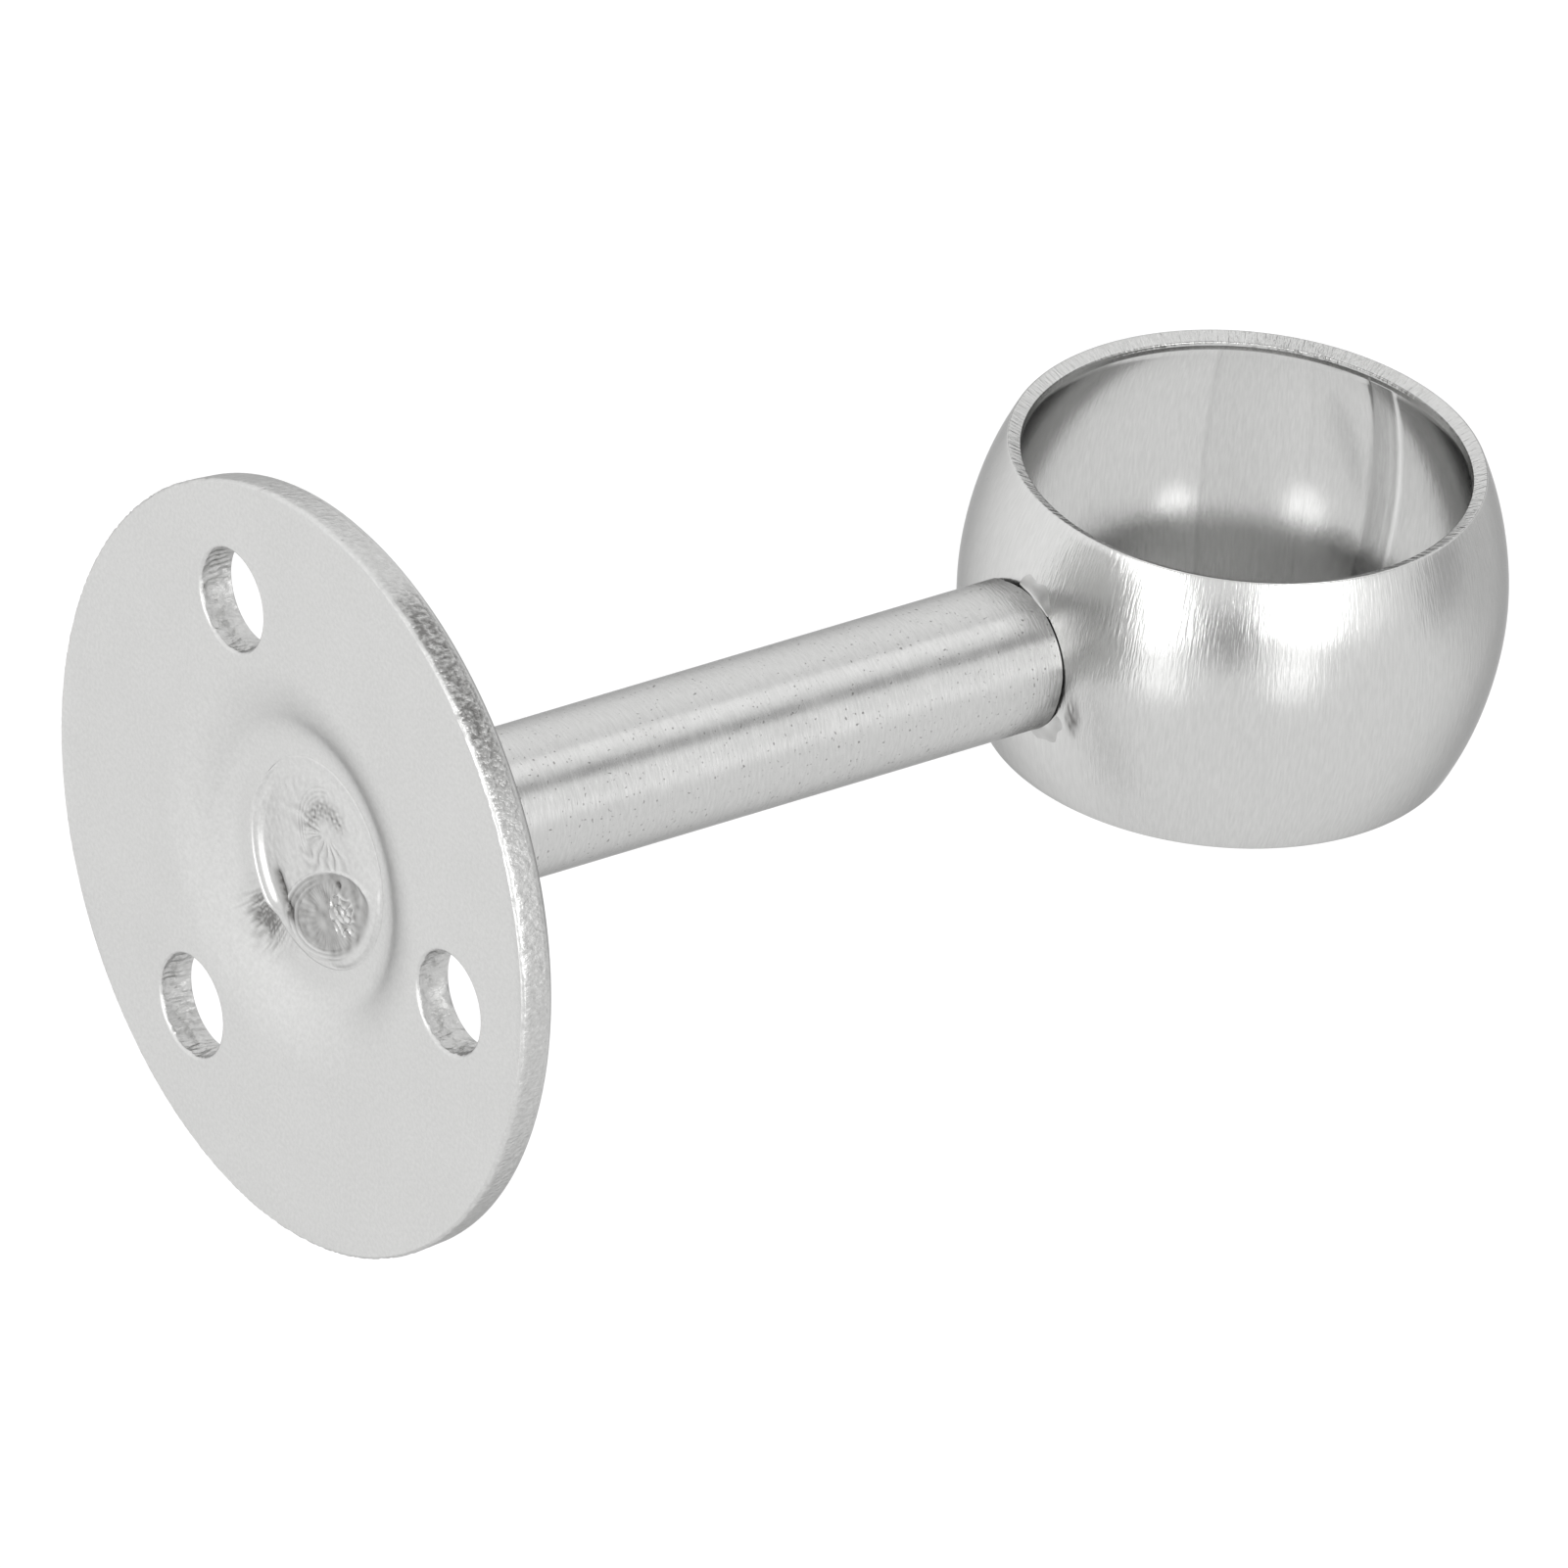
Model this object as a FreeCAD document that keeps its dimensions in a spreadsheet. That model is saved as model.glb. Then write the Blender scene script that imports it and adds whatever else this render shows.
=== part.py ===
"""Curtain pole bracket: a welded stainless steel wall bracket that carries a pole through its ring.

A round stamped plate screws to the wall. A straight round stem stands out from its middle and ends on a
barrel-shaped ring, a short piece of tube with both mouths necked in, which the pole passes through. A weld
puddle behind the plate holds the stem in its hole, and three tacks hold the ring on the stem's coped end.

Frame: the origin is the centre of the plate's wall face. The stem runs along -Y into the room, +X is the
way the pole runs, and +Z is up the wall. Units are millimetres.
"""
import FreeCAD, Part
import math
import os
import Sketcher

SIZES = [
    ("plate_diameter", 61.0, "outside of the base plate"),
    ("plate_thickness", 3.0, "sheet that the base plate is stamped from"),
    ("plate_edge_break", 0.35, "broken edge that the blanking punch leaves on the wall side"),
    ("dish_depth", 1.5, "how far the flat bottom of the dip stands off the wall"),
    ("dish_run", 6.0, "radial width of the dip's sloping side"),
    ("dish_bend", 1.1, "bend radius at the foot of that side, next to the weld"),
    ("screw_circle", 42.0, "pitch circle of the screw holes"),
    ("screw_hole", 8.2, "diameter of a screw hole"),
    ("screw_count", 3.0, "number of screw holes, the first one straight up"),
    ("stem_diameter", 12.0, "round bar of the stem"),
    ("stem_clearance", 0.05, "radial clearance of the stem in the plate's hole"),
    ("projection", 88.5, "from the wall to the pole's axis"),
    ("ring_diameter", 42.4, "outside of the tube that the ring is made from, kept at its middle"),
    ("ring_neck", 2.7, "how far each end of the tube is necked in from its outside, on the radius"),
    ("ring_width", 24.0, "length of the ring along the pole"),
    ("ring_wall", 1.5, "wall of the tube"),
    ("bore_land", 0.25, "how deep the straight bore cuts into each necked-in lip"),
    ("rim_break", 0.2, "broken corner round the outside of each mouth"),
    ("joint_gap", 0.15, "fit-up gap between the stem's coped end and the ring"),
    ("weld_diameter", 16.8, "outside of the weld puddle behind the plate"),
    ("weld_height", 0.45, "how far the puddle stands proud of the dip's floor"),
    ("weld_edge", 0.4, "sloping edge of the puddle"),
    ("weld_crater", 9.0, "diameter of the shallow crater in the puddle"),
    ("weld_crater_depth", 0.2, "depth of that crater"),
    ("weld_root", 1.0, "how deep the weld fills the plate's hole before it meets the stem"),
    ("weld_shift_x", 1.1, "the puddle's middle, off the stem's axis along the pole"),
    ("weld_shift_z", 1.6, "the puddle's middle, off the stem's axis up the wall"),
    ("weld_margin", 0.1, "flat floor left round the puddle where it comes nearest to the dip's side"),
    ("tack_size", 0.75, "radius of a tack's round section"),
    ("tack_arc", 36.0, "angle round the stem that one tack covers, in degrees"),
    ("tack_start", 14.0, "angle of the first tack's middle from the pole's direction, in degrees"),
    ("tack_count", 3.0, "number of tacks round the stem"),
]

# What several pieces share is worked out here, once, from the sizes above.
STEM_RADIUS = "(Sizes.stem_diameter / 2)"
STEM_HOLE_RADIUS = f"({STEM_RADIUS} + Sizes.stem_clearance)"
STEM_START = "(Sizes.dish_depth + Sizes.weld_root)"
WELD_SHIFT = "sqrt(Sizes.weld_shift_x ^ 2 + Sizes.weld_shift_z ^ 2)"
FLOOR_RADIUS = f"(Sizes.weld_diameter / 2 + {WELD_SHIFT} + Sizes.weld_margin)"
DISH_RADIUS = f"({FLOOR_RADIUS} + Sizes.dish_run)"
RING_RADIUS = "(Sizes.ring_diameter / 2)"
HALF_WIDTH = "(Sizes.ring_width / 2)"
CROWN = f"(({HALF_WIDTH} ^ 2 + Sizes.ring_neck ^ 2) / (2 * Sizes.ring_neck))"
MOUTH_RADIUS = f"({RING_RADIUS} - Sizes.ring_neck)"
LIP_RADIUS = f"({MOUTH_RADIUS} - Sizes.ring_wall * sqrt(1 - ({HALF_WIDTH} / {CROWN}) ^ 2))"
BORE_RADIUS = f"({LIP_RADIUS} + Sizes.bore_land)"

# How a sketch numbers the ends and the centre of a line or an arc, and its own origin and axes
START, END, CENTRE = range(1, 4)
ORIGIN = (-1, START)
LEVEL_AXIS, UPRIGHT_AXIS = range(-1, -3, -1)

doc = FreeCAD.newDocument("pole_bracket")
sheet = doc.addObject("Spreadsheet::Sheet", "Sizes")
for row, (alias, number, meaning) in enumerate(SIZES, start=1):
    sheet.set(f"A{row}", meaning)
    sheet.set(f"B{row}", str(number))
    sheet.setAlias(f"B{row}", alias)
doc.recompute()


def value(formula):
    """Work out a formula of the sheet's sizes."""
    return float(sheet.evalExpression(formula))


def new_body(name):
    """Return an empty body whose label is the piece's name."""
    body = doc.addObject("PartDesign::Body", name)
    body.Label = name
    return body


def new_sketch(body, name, plane):
    """Return a sketch on one of the body's own origin planes."""
    sketch = body.newObject("Sketcher::SketchObject", name)
    support = [part for part in body.Origin.OriginFeatures if part.Role == plane][0]
    sketch.AttachmentSupport = [(support, "")]
    sketch.MapMode = "FlatFace"
    return sketch


def line(sketch, start, end):
    """Add a straight line between two points."""
    points = [FreeCAD.Vector(x, y, 0) for x, y in (start, end)]
    return sketch.addGeometry(Part.LineSegment(*points))


def arc(sketch, centre, radius, start, end):
    """Add an arc that runs anticlockwise from one angle to another, in degrees."""
    circle = Part.Circle(FreeCAD.Vector(*centre, 0), FreeCAD.Vector(0, 0, 1), radius)
    return sketch.addGeometry(Part.ArcOfCircle(circle, math.radians(start), math.radians(end)))


def circle_at_origin(sketch, formula):
    """Add a circle round the sketch's origin, with its radius tied to the sheet."""
    circle = sketch.addGeometry(Part.Circle(FreeCAD.Vector(), FreeCAD.Vector(0, 0, 1), value(formula)))
    join(sketch, (circle, CENTRE), ORIGIN)
    dimension(sketch, "radius", formula, "Radius", circle)


def join(sketch, first, second, kind="Coincident"):
    """Join two ends, each a (geometry, end) pair. The kind is Coincident or Tangent."""
    sketch.addConstraint(Sketcher.Constraint(kind, *first, *second))


def rule(sketch, kind, *where):
    """Add a rule with no number, such as Horizontal or PointOnObject."""
    sketch.addConstraint(Sketcher.Constraint(kind, *where))


def dimension(sketch, name, formula, kind, *where):
    """Add a named dimension and tie it to the sheet."""
    index = sketch.addConstraint(Sketcher.Constraint(kind, *where, value(formula)))
    sketch.renameConstraint(index, name)
    sketch.setExpression(f"Constraints.{name}", formula)


def cut_through(body, name, sketch):
    """Cut a sketch's outline right through the body, both ways."""
    cut = body.newObject("PartDesign::Pocket", name)
    cut.Profile = sketch
    cut.Type = "ThroughAll"
    cut.Midplane = True
    doc.recompute()
    return cut


def turned(body, kind, name, sketch, axis):
    """Turn a sketch right round one of its axes, to add a Revolution or cut a Groove."""
    feature = body.newObject(f"PartDesign::{kind}", name)
    feature.Profile = sketch
    feature.ReferenceAxis = (sketch, [axis])
    feature.Angle = 360
    doc.recompute()
    return feature


def repeated(body, name, feature, sketch, count):
    """Repeat a feature round the upright axis of a sketch."""
    pattern = body.newObject("PartDesign::PolarPattern", name)
    pattern.Originals = [feature]
    pattern.Axis = (sketch, ["V_Axis"])
    pattern.Angle = 360
    pattern.setExpression("Occurrences", count)
    body.Tip = pattern
    doc.recompute()
    return pattern


# Base plate


def draw_plate_section(sketch):
    """Draw the plate's half section: x is the radius and y the distance towards the wall.

    The wall face is the upper side. Both bends of the dip have one centre for the two faces, so the sheet
    keeps its thickness down the slope.
    """
    thick = value("Sizes.plate_thickness")
    rim = value("Sizes.plate_diameter / 2")
    edge = value("Sizes.plate_edge_break")
    depth = value("Sizes.dish_depth")
    hole = value(STEM_HOLE_RADIUS)
    floor = value(FLOOR_RADIUS)
    dish = value(DISH_RADIUS)
    foot = value("Sizes.dish_bend")
    run = value("Sizes.dish_run")
    both_bends = (run ** 2 + depth ** 2) / (2 * depth)
    shoulder = both_bends - foot
    slope = math.degrees(math.asin(run / both_bends))

    floor_line = line(sketch, (hole, -depth), (floor, -depth))
    foot_arc = arc(sketch, (floor, foot - depth), foot, 270, 270 + slope)
    shoulder_arc = arc(sketch, (dish, -shoulder), shoulder, 90, 90 + slope)
    face_line = line(sketch, (dish, 0), (rim - edge, 0))
    edge_line = line(sketch, (rim - edge, 0), (rim, -edge))
    rim_line = line(sketch, (rim, -edge), (rim, -thick))
    front_line = line(sketch, (rim, -thick), (dish, -thick))
    front_shoulder = arc(sketch, (dish, -shoulder), shoulder - thick, 90, 90 + slope)
    front_foot = arc(sketch, (floor, foot - depth), foot + thick, 270, 270 + slope)
    boss_line = line(sketch, (floor, -depth - thick), (hole, -depth - thick))
    hole_line = line(sketch, (hole, -depth - thick), (hole, -depth))

    join(sketch, (floor_line, END), (foot_arc, START), "Tangent")
    join(sketch, (foot_arc, END), (shoulder_arc, END), "Tangent")
    join(sketch, (shoulder_arc, START), (face_line, START), "Tangent")
    join(sketch, (face_line, END), (edge_line, START))
    join(sketch, (edge_line, END), (rim_line, START))
    join(sketch, (rim_line, END), (front_line, START))
    join(sketch, (front_line, END), (front_shoulder, START), "Tangent")
    join(sketch, (front_shoulder, END), (front_foot, END), "Tangent")
    join(sketch, (front_foot, START), (boss_line, START), "Tangent")
    join(sketch, (boss_line, END), (hole_line, START))
    join(sketch, (hole_line, END), (floor_line, START))
    join(sketch, (shoulder_arc, CENTRE), (front_shoulder, CENTRE))
    join(sketch, (foot_arc, CENTRE), (front_foot, CENTRE))
    rule(sketch, "Horizontal", floor_line)
    rule(sketch, "Horizontal", face_line)
    rule(sketch, "Horizontal", front_line)
    rule(sketch, "Vertical", rim_line)
    rule(sketch, "Vertical", hole_line)
    rule(sketch, "PointOnObject", face_line, START, LEVEL_AXIS)

    dimension(sketch, "hole", STEM_HOLE_RADIUS, "DistanceX", *ORIGIN, floor_line, START)
    dimension(sketch, "floor", FLOOR_RADIUS, "DistanceX", *ORIGIN, floor_line, END)
    dimension(sketch, "depth", "Sizes.dish_depth", "DistanceY", floor_line, START, *ORIGIN)
    dimension(sketch, "dish", DISH_RADIUS, "DistanceX", *ORIGIN, face_line, START)
    dimension(sketch, "foot", "Sizes.dish_bend", "Radius", foot_arc)
    dimension(sketch, "face", "Sizes.plate_diameter / 2 - Sizes.plate_edge_break",
              "DistanceX", *ORIGIN, face_line, END)
    dimension(sketch, "edge", "Sizes.plate_edge_break", "DistanceY", rim_line, START, *ORIGIN)
    dimension(sketch, "rim", "Sizes.plate_diameter / 2", "DistanceX", *ORIGIN, rim_line, START)
    dimension(sketch, "thick", "Sizes.plate_thickness", "DistanceY", rim_line, END, *ORIGIN)


def make_base_plate():
    """A blanked disc with three screw holes, dipped in the middle to keep the weld clear of the wall."""
    body = new_body("base_plate")
    section = new_sketch(body, "plate_section", "XY_Plane")
    draw_plate_section(section)
    turned(body, "Revolution", "plate_disc", section, "V_Axis")

    hole = new_sketch(body, "screw_hole_outline", "XZ_Plane")
    pitch = value("Sizes.screw_circle / 2")
    circle = hole.addGeometry(Part.Circle(FreeCAD.Vector(0, pitch, 0), FreeCAD.Vector(0, 0, 1), 1))
    rule(hole, "PointOnObject", circle, CENTRE, UPRIGHT_AXIS)
    dimension(hole, "pitch", "Sizes.screw_circle / 2", "DistanceY", *ORIGIN, circle, CENTRE)
    dimension(hole, "radius", "Sizes.screw_hole / 2", "Radius", circle)
    punched = cut_through(body, "screw_hole_cut", hole)
    repeated(body, "screw_holes", punched, section, "Sizes.screw_count")
    return body


# Stem


def draw_ring_outline(sketch, gap):
    """Draw the area between the pole's axis and the ring's outside grown by a gap, in the bracket's frame.

    Turned round the pole's axis, which is the sketch's one construction line, it cuts a piece to fit
    against the ring.
    """
    crown_formula = f"{CROWN} + {gap}"
    crown = value(crown_formula)
    half = value(HALF_WIDTH)
    pole = -value("Sizes.projection")
    centre = pole + value(f"{RING_RADIUS} - {CROWN}")
    spread = math.asin(half / crown)
    shoulder = centre + crown * math.cos(spread)

    outside = arc(sketch, (0, centre), crown, 90 - math.degrees(spread), 90 + math.degrees(spread))
    left = line(sketch, (-half, shoulder), (-half, pole))
    bottom = line(sketch, (-half, pole), (half, pole))
    right = line(sketch, (half, pole), (half, shoulder))
    pole_axis = line(sketch, (-half, pole), (half, pole))
    sketch.setConstruction(pole_axis, True)
    join(sketch, (outside, END), (left, START))
    join(sketch, (left, END), (bottom, START))
    join(sketch, (bottom, END), (right, START))
    join(sketch, (right, END), (outside, START))
    join(sketch, (pole_axis, START), (bottom, START))
    join(sketch, (pole_axis, END), (bottom, END))
    rule(sketch, "Vertical", left)
    rule(sketch, "Vertical", right)
    rule(sketch, "Horizontal", bottom)
    rule(sketch, "PointOnObject", outside, CENTRE, UPRIGHT_AXIS)
    dimension(sketch, "crown", crown_formula, "Radius", outside)
    dimension(sketch, "half", HALF_WIDTH, "DistanceX", left, END, *ORIGIN)
    dimension(sketch, "width", "Sizes.ring_width", "DistanceX", bottom, START, bottom, END)
    dimension(sketch, "pole", "Sizes.projection", "DistanceY", bottom, START, *ORIGIN)
    dimension(sketch, "centre", f"Sizes.projection - {RING_RADIUS} + {CROWN}",
              "DistanceY", outside, CENTRE, *ORIGIN)


def make_stem():
    """A round bar from inside the plate's hole to the ring, its end coped to the ring's double curve."""
    body = new_body("stem")
    section = new_sketch(body, "stem_section", "XZ_Plane")
    section.setExpression("AttachmentOffset.Base.z", STEM_START)
    circle_at_origin(section, STEM_RADIUS)
    bar = body.newObject("PartDesign::Pad", "stem_bar")
    bar.Profile = section
    bar.setExpression("Length", f"Sizes.projection - {STEM_START}")
    doc.recompute()
    cope = new_sketch(body, "cope_outline", "XY_Plane")
    draw_ring_outline(cope, "Sizes.joint_gap")
    turned(body, "Groove", "coped_end", cope, "Axis0")
    return body


# Pole ring


def draw_ring_section(sketch):
    """Draw the ring's half section: x is along the pole and y the distance from its axis.

    The inside and the outside are arcs about one centre. The two ends are square to the wall, because the
    tube was cut before it was necked in, so they lean in towards the bore.
    """
    outer = value(CROWN)
    inner = value(f"{CROWN} - Sizes.ring_wall")
    centre = value(f"{RING_RADIUS} - {CROWN}")
    spread = math.asin(value(HALF_WIDTH) / outer)
    first = 90 - math.degrees(spread)
    last = 90 + math.degrees(spread)
    ends = []
    for side in (-1, 1):
        for radius in (outer, inner):
            ends.append((side * radius * math.sin(spread), centre + radius * math.cos(spread)))

    outside = arc(sketch, (0, centre), outer, first, last)
    inside = arc(sketch, (0, centre), inner, first, last)
    left = line(sketch, ends[0], ends[1])
    right = line(sketch, ends[3], ends[2])
    join(sketch, (outside, END), (left, START))
    join(sketch, (left, END), (inside, END))
    join(sketch, (inside, START), (right, START))
    join(sketch, (right, END), (outside, START))
    join(sketch, (outside, CENTRE), (inside, CENTRE))
    rule(sketch, "PointOnObject", outside, CENTRE, UPRIGHT_AXIS)
    rule(sketch, "PointOnObject", outside, CENTRE, left)
    rule(sketch, "PointOnObject", outside, CENTRE, right)
    dimension(sketch, "crown", CROWN, "Radius", outside)
    dimension(sketch, "inner", f"{CROWN} - Sizes.ring_wall", "Radius", inside)
    dimension(sketch, "centre", f"{CROWN} - {RING_RADIUS}", "DistanceY", outside, CENTRE, *ORIGIN)
    dimension(sketch, "left", HALF_WIDTH, "DistanceX", outside, END, *ORIGIN)
    dimension(sketch, "right", HALF_WIDTH, "DistanceX", *ORIGIN, outside, START)


def mouth_edges(shape):
    """Name the outer edge of each of the ring's two mouths."""
    reach = value(HALF_WIDTH)
    names = []
    for number, edge in enumerate(shape.Edges, start=1):
        box = edge.BoundBox
        flat = box.XLength < 0.001
        at_end = abs(abs(box.Center.x) - reach) < 0.001
        if flat and at_end:
            names.append(f"Edge{number}")
    return names


def make_pole_ring():
    """A short tube necked in at both ends, with a straight bore that leaves a narrow land in each lip."""
    body = new_body("pole_ring")
    body.setExpression("Placement.Base.y", "-Sizes.projection")
    section = new_sketch(body, "ring_section", "XY_Plane")
    draw_ring_section(section)
    turned(body, "Revolution", "ring_barrel", section, "H_Axis")
    bore = new_sketch(body, "bore_outline", "YZ_Plane")
    circle_at_origin(bore, BORE_RADIUS)
    reamed = cut_through(body, "pole_bore", bore)
    broken = body.newObject("PartDesign::Chamfer", "rim_corners")
    broken.Base = (reamed, mouth_edges(reamed.Shape))
    broken.setExpression("Size", "Sizes.rim_break")
    doc.recompute()
    return body


# Welds


def draw_puddle_section(sketch):
    """Draw the puddle's half section: a flat round button with a sloping edge and a shallow crater."""
    outer = value("Sizes.weld_diameter / 2")
    height = value("Sizes.weld_height")
    edge = value("Sizes.weld_edge")
    crater = value("Sizes.weld_crater / 2")
    dip = value("Sizes.weld_crater_depth")

    bottom = line(sketch, (0, 0), (outer, 0))
    side = line(sketch, (outer, 0), (outer, height - edge))
    slope = line(sketch, (outer, height - edge), (outer - edge, height))
    top = line(sketch, (outer - edge, height), (crater, height))
    bowl = line(sketch, (crater, height), (0, height - dip))
    core = line(sketch, (0, height - dip), (0, 0))
    join(sketch, (bottom, START), ORIGIN)
    join(sketch, (bottom, END), (side, START))
    join(sketch, (side, END), (slope, START))
    join(sketch, (slope, END), (top, START))
    join(sketch, (top, END), (bowl, START))
    join(sketch, (bowl, END), (core, START))
    join(sketch, (core, END), (bottom, START))
    rule(sketch, "Horizontal", bottom)
    rule(sketch, "Horizontal", top)
    rule(sketch, "Vertical", side)
    rule(sketch, "Vertical", core)
    dimension(sketch, "outer", "Sizes.weld_diameter / 2", "DistanceX", *ORIGIN, bottom, END)
    dimension(sketch, "height", "Sizes.weld_height", "DistanceY", *ORIGIN, top, START)
    dimension(sketch, "side", "Sizes.weld_height - Sizes.weld_edge", "DistanceY", *ORIGIN, side, END)
    dimension(sketch, "flat", "Sizes.weld_diameter / 2 - Sizes.weld_edge",
              "DistanceX", *ORIGIN, top, START)
    dimension(sketch, "crater", "Sizes.weld_crater / 2", "DistanceX", *ORIGIN, top, END)
    dimension(sketch, "dip", "Sizes.weld_height - Sizes.weld_crater_depth",
              "DistanceY", *ORIGIN, core, START)


def make_base_weld():
    """The weld behind the plate: a plug in the stem's hole under a puddle that set a little off centre."""
    body = new_body("base_weld")
    plug = new_sketch(body, "plug_outline", "XZ_Plane")
    plug.setExpression("AttachmentOffset.Base.z", "Sizes.dish_depth")
    circle_at_origin(plug, STEM_HOLE_RADIUS)
    filled = body.newObject("PartDesign::Pad", "plug")
    filled.Profile = plug
    filled.setExpression("Length", "Sizes.weld_root")
    doc.recompute()
    section = new_sketch(body, "puddle_section", "XY_Plane")
    section.setExpression("AttachmentOffset.Base.x", "Sizes.weld_shift_x")
    section.setExpression("AttachmentOffset.Base.y", "-Sizes.dish_depth")
    section.setExpression("AttachmentOffset.Base.z", "Sizes.weld_shift_z")
    draw_puddle_section(section)
    turned(body, "Revolution", "puddle", section, "V_Axis")
    return body


def make_ring_weld():
    """Tacks in the corner between the stem's end and the ring, which seat against both.

    Each tack is a length of round bead that follows the stem's edge. The stem's own round and the ring's
    outside are then cut from it.
    """
    body = new_body("ring_weld")
    section = new_sketch(body, "tack_section", "XY_Plane")
    towards_up = FreeCAD.Rotation(FreeCAD.Vector(0, -1, 0), value("Sizes.tack_start"))
    section.AttachmentOffset = FreeCAD.Placement(FreeCAD.Vector(), towards_up)
    section.setExpression("AttachmentOffset.Rotation.Angle", "Sizes.tack_start")
    edge_reach = f"sqrt({RING_RADIUS} ^ 2 - {STEM_RADIUS} ^ 2)"
    seat = f"Sizes.projection - {edge_reach}"
    middle = FreeCAD.Vector(value(STEM_RADIUS), -value(seat), 0)
    bead = section.addGeometry(Part.Circle(middle, FreeCAD.Vector(0, 0, 1), value("Sizes.tack_size")))
    dimension(section, "stem", STEM_RADIUS, "DistanceX", *ORIGIN, bead, CENTRE)
    dimension(section, "seat", seat, "DistanceY", bead, CENTRE, *ORIGIN)
    dimension(section, "size", "Sizes.tack_size", "Radius", bead)
    tack = body.newObject("PartDesign::Revolution", "tack")
    tack.Profile = section
    tack.ReferenceAxis = (section, ["V_Axis"])
    tack.setExpression("Angle", "Sizes.tack_arc")
    tack.Midplane = True
    doc.recompute()
    repeated(body, "tacks", tack, section, "Sizes.tack_count")

    bar = new_sketch(body, "stem_outline", "XZ_Plane")
    circle_at_origin(bar, STEM_RADIUS)
    cut_through(body, "stem_side", bar)
    ring = new_sketch(body, "ring_outline", "XY_Plane")
    draw_ring_outline(ring, "0")
    turned(body, "Groove", "ring_side", ring, "Axis0")
    return body


# Checks and export


def check(pieces):
    """Stop with a plain message if anything in the document failed or a piece's solid is unsound."""
    doc.recompute()
    for item in doc.Objects:
        failed = [state for state in item.State if state in ("Invalid", "Error")]
        if failed:
            raise RuntimeError(f"{item.Label} failed: {item.State}")
    for piece in pieces:
        if piece.Shape.isNull() or not piece.Shape.isValid():
            raise RuntimeError(f"{piece.Label} has no valid shape")
        if not piece.Shape.Solids:
            raise RuntimeError(f"{piece.Label} has no solid")


def report(pieces):
    """Print each piece's solids, volume and box."""
    for piece in pieces:
        box = piece.Shape.BoundBox
        low = (round(box.XMin, 2), round(box.YMin, 2), round(box.ZMin, 2))
        high = (round(box.XMax, 2), round(box.YMax, 2), round(box.ZMax, 2))
        print(piece.Label, len(piece.Shape.Solids), "solids", round(piece.Shape.Volume, 1), "mm3", low, high)
    print("bore radius", round(value(BORE_RADIUS), 4), "crown", round(value(CROWN), 3))


bracket = [make_base_plate(), make_stem(), make_pole_ring(), make_base_weld(), make_ring_weld()]
check(bracket)
report(bracket)
os.makedirs("parts", exist_ok=True)
for piece in bracket:
    piece.Shape.exportStep(f"parts/{piece.Label}.step")
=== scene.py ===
# %% [markdown]
# # A curtain pole bracket in stainless steel
#
# The bracket is three stock pieces welded together: a stamped disc that screws to the wall, a round bar, and
# a short length of tube, necked in at both mouths, that the pole passes through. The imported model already
# holds each piece at its real size. This lesson gives every piece its true surface and the finish that its
# own process left on it, and then photographs it in a soft studio.
#
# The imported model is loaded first. Everything after it is in metres, in the model's own frame: the origin is
# the middle of the wall face, the bar runs along -Y, and the pole along +X.

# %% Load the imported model
import math

import bmesh
import bpy
import numpy as np
from mathutils import Matrix, Vector


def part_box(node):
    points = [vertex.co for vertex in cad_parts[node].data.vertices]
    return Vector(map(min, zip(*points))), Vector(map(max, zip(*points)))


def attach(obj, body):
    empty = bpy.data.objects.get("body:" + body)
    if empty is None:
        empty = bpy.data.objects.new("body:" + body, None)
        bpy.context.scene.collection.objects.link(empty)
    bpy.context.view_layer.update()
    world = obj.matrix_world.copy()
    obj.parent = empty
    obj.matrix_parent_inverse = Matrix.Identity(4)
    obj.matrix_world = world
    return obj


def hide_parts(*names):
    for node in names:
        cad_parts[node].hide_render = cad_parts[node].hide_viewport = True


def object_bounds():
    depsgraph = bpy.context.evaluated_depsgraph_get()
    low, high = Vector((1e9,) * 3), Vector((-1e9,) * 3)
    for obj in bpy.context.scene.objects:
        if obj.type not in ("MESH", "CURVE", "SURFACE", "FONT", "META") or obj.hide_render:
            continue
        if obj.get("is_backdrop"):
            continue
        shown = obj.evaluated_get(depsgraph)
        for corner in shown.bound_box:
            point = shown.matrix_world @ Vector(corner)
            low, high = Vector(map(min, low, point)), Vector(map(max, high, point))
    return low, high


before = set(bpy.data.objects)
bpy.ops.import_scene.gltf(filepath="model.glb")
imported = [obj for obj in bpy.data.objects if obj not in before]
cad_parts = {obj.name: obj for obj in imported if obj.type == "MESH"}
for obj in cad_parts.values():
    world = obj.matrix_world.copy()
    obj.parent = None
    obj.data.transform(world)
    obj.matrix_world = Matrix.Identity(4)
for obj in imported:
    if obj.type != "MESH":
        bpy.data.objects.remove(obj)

MM = 0.001
packed_low, packed_high = (list(corner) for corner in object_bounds())
print("packed model, mm:", [round((b - a) / MM, 1) for a, b in zip(packed_low, packed_high)])

# %% [markdown]
# ## The view
#
# A small product is often photographed from far away with a long lens, so that its lines stay almost
# parallel. The camera here does the same. It stands behind the wall plate and above it, and it is rolled
# over, because the bracket lay on a table for its picture. The view is given by the point it looks at, a
# distance and three angles, so that it can be changed without working out a matrix by hand.

# %% Camera
CAMERA_TARGET = Vector((-3.526, -44.48, 2.801)) * MM
CAMERA_DISTANCE = 3.02367
CAMERA_AZIMUTH, CAMERA_ELEVATION, CAMERA_ROLL = (math.radians(a) for a in (135.164, 41.599, -129.59))
SENSOR_WIDTH = 36.0
FOCAL_PER_WIDTH = 25.297


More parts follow.
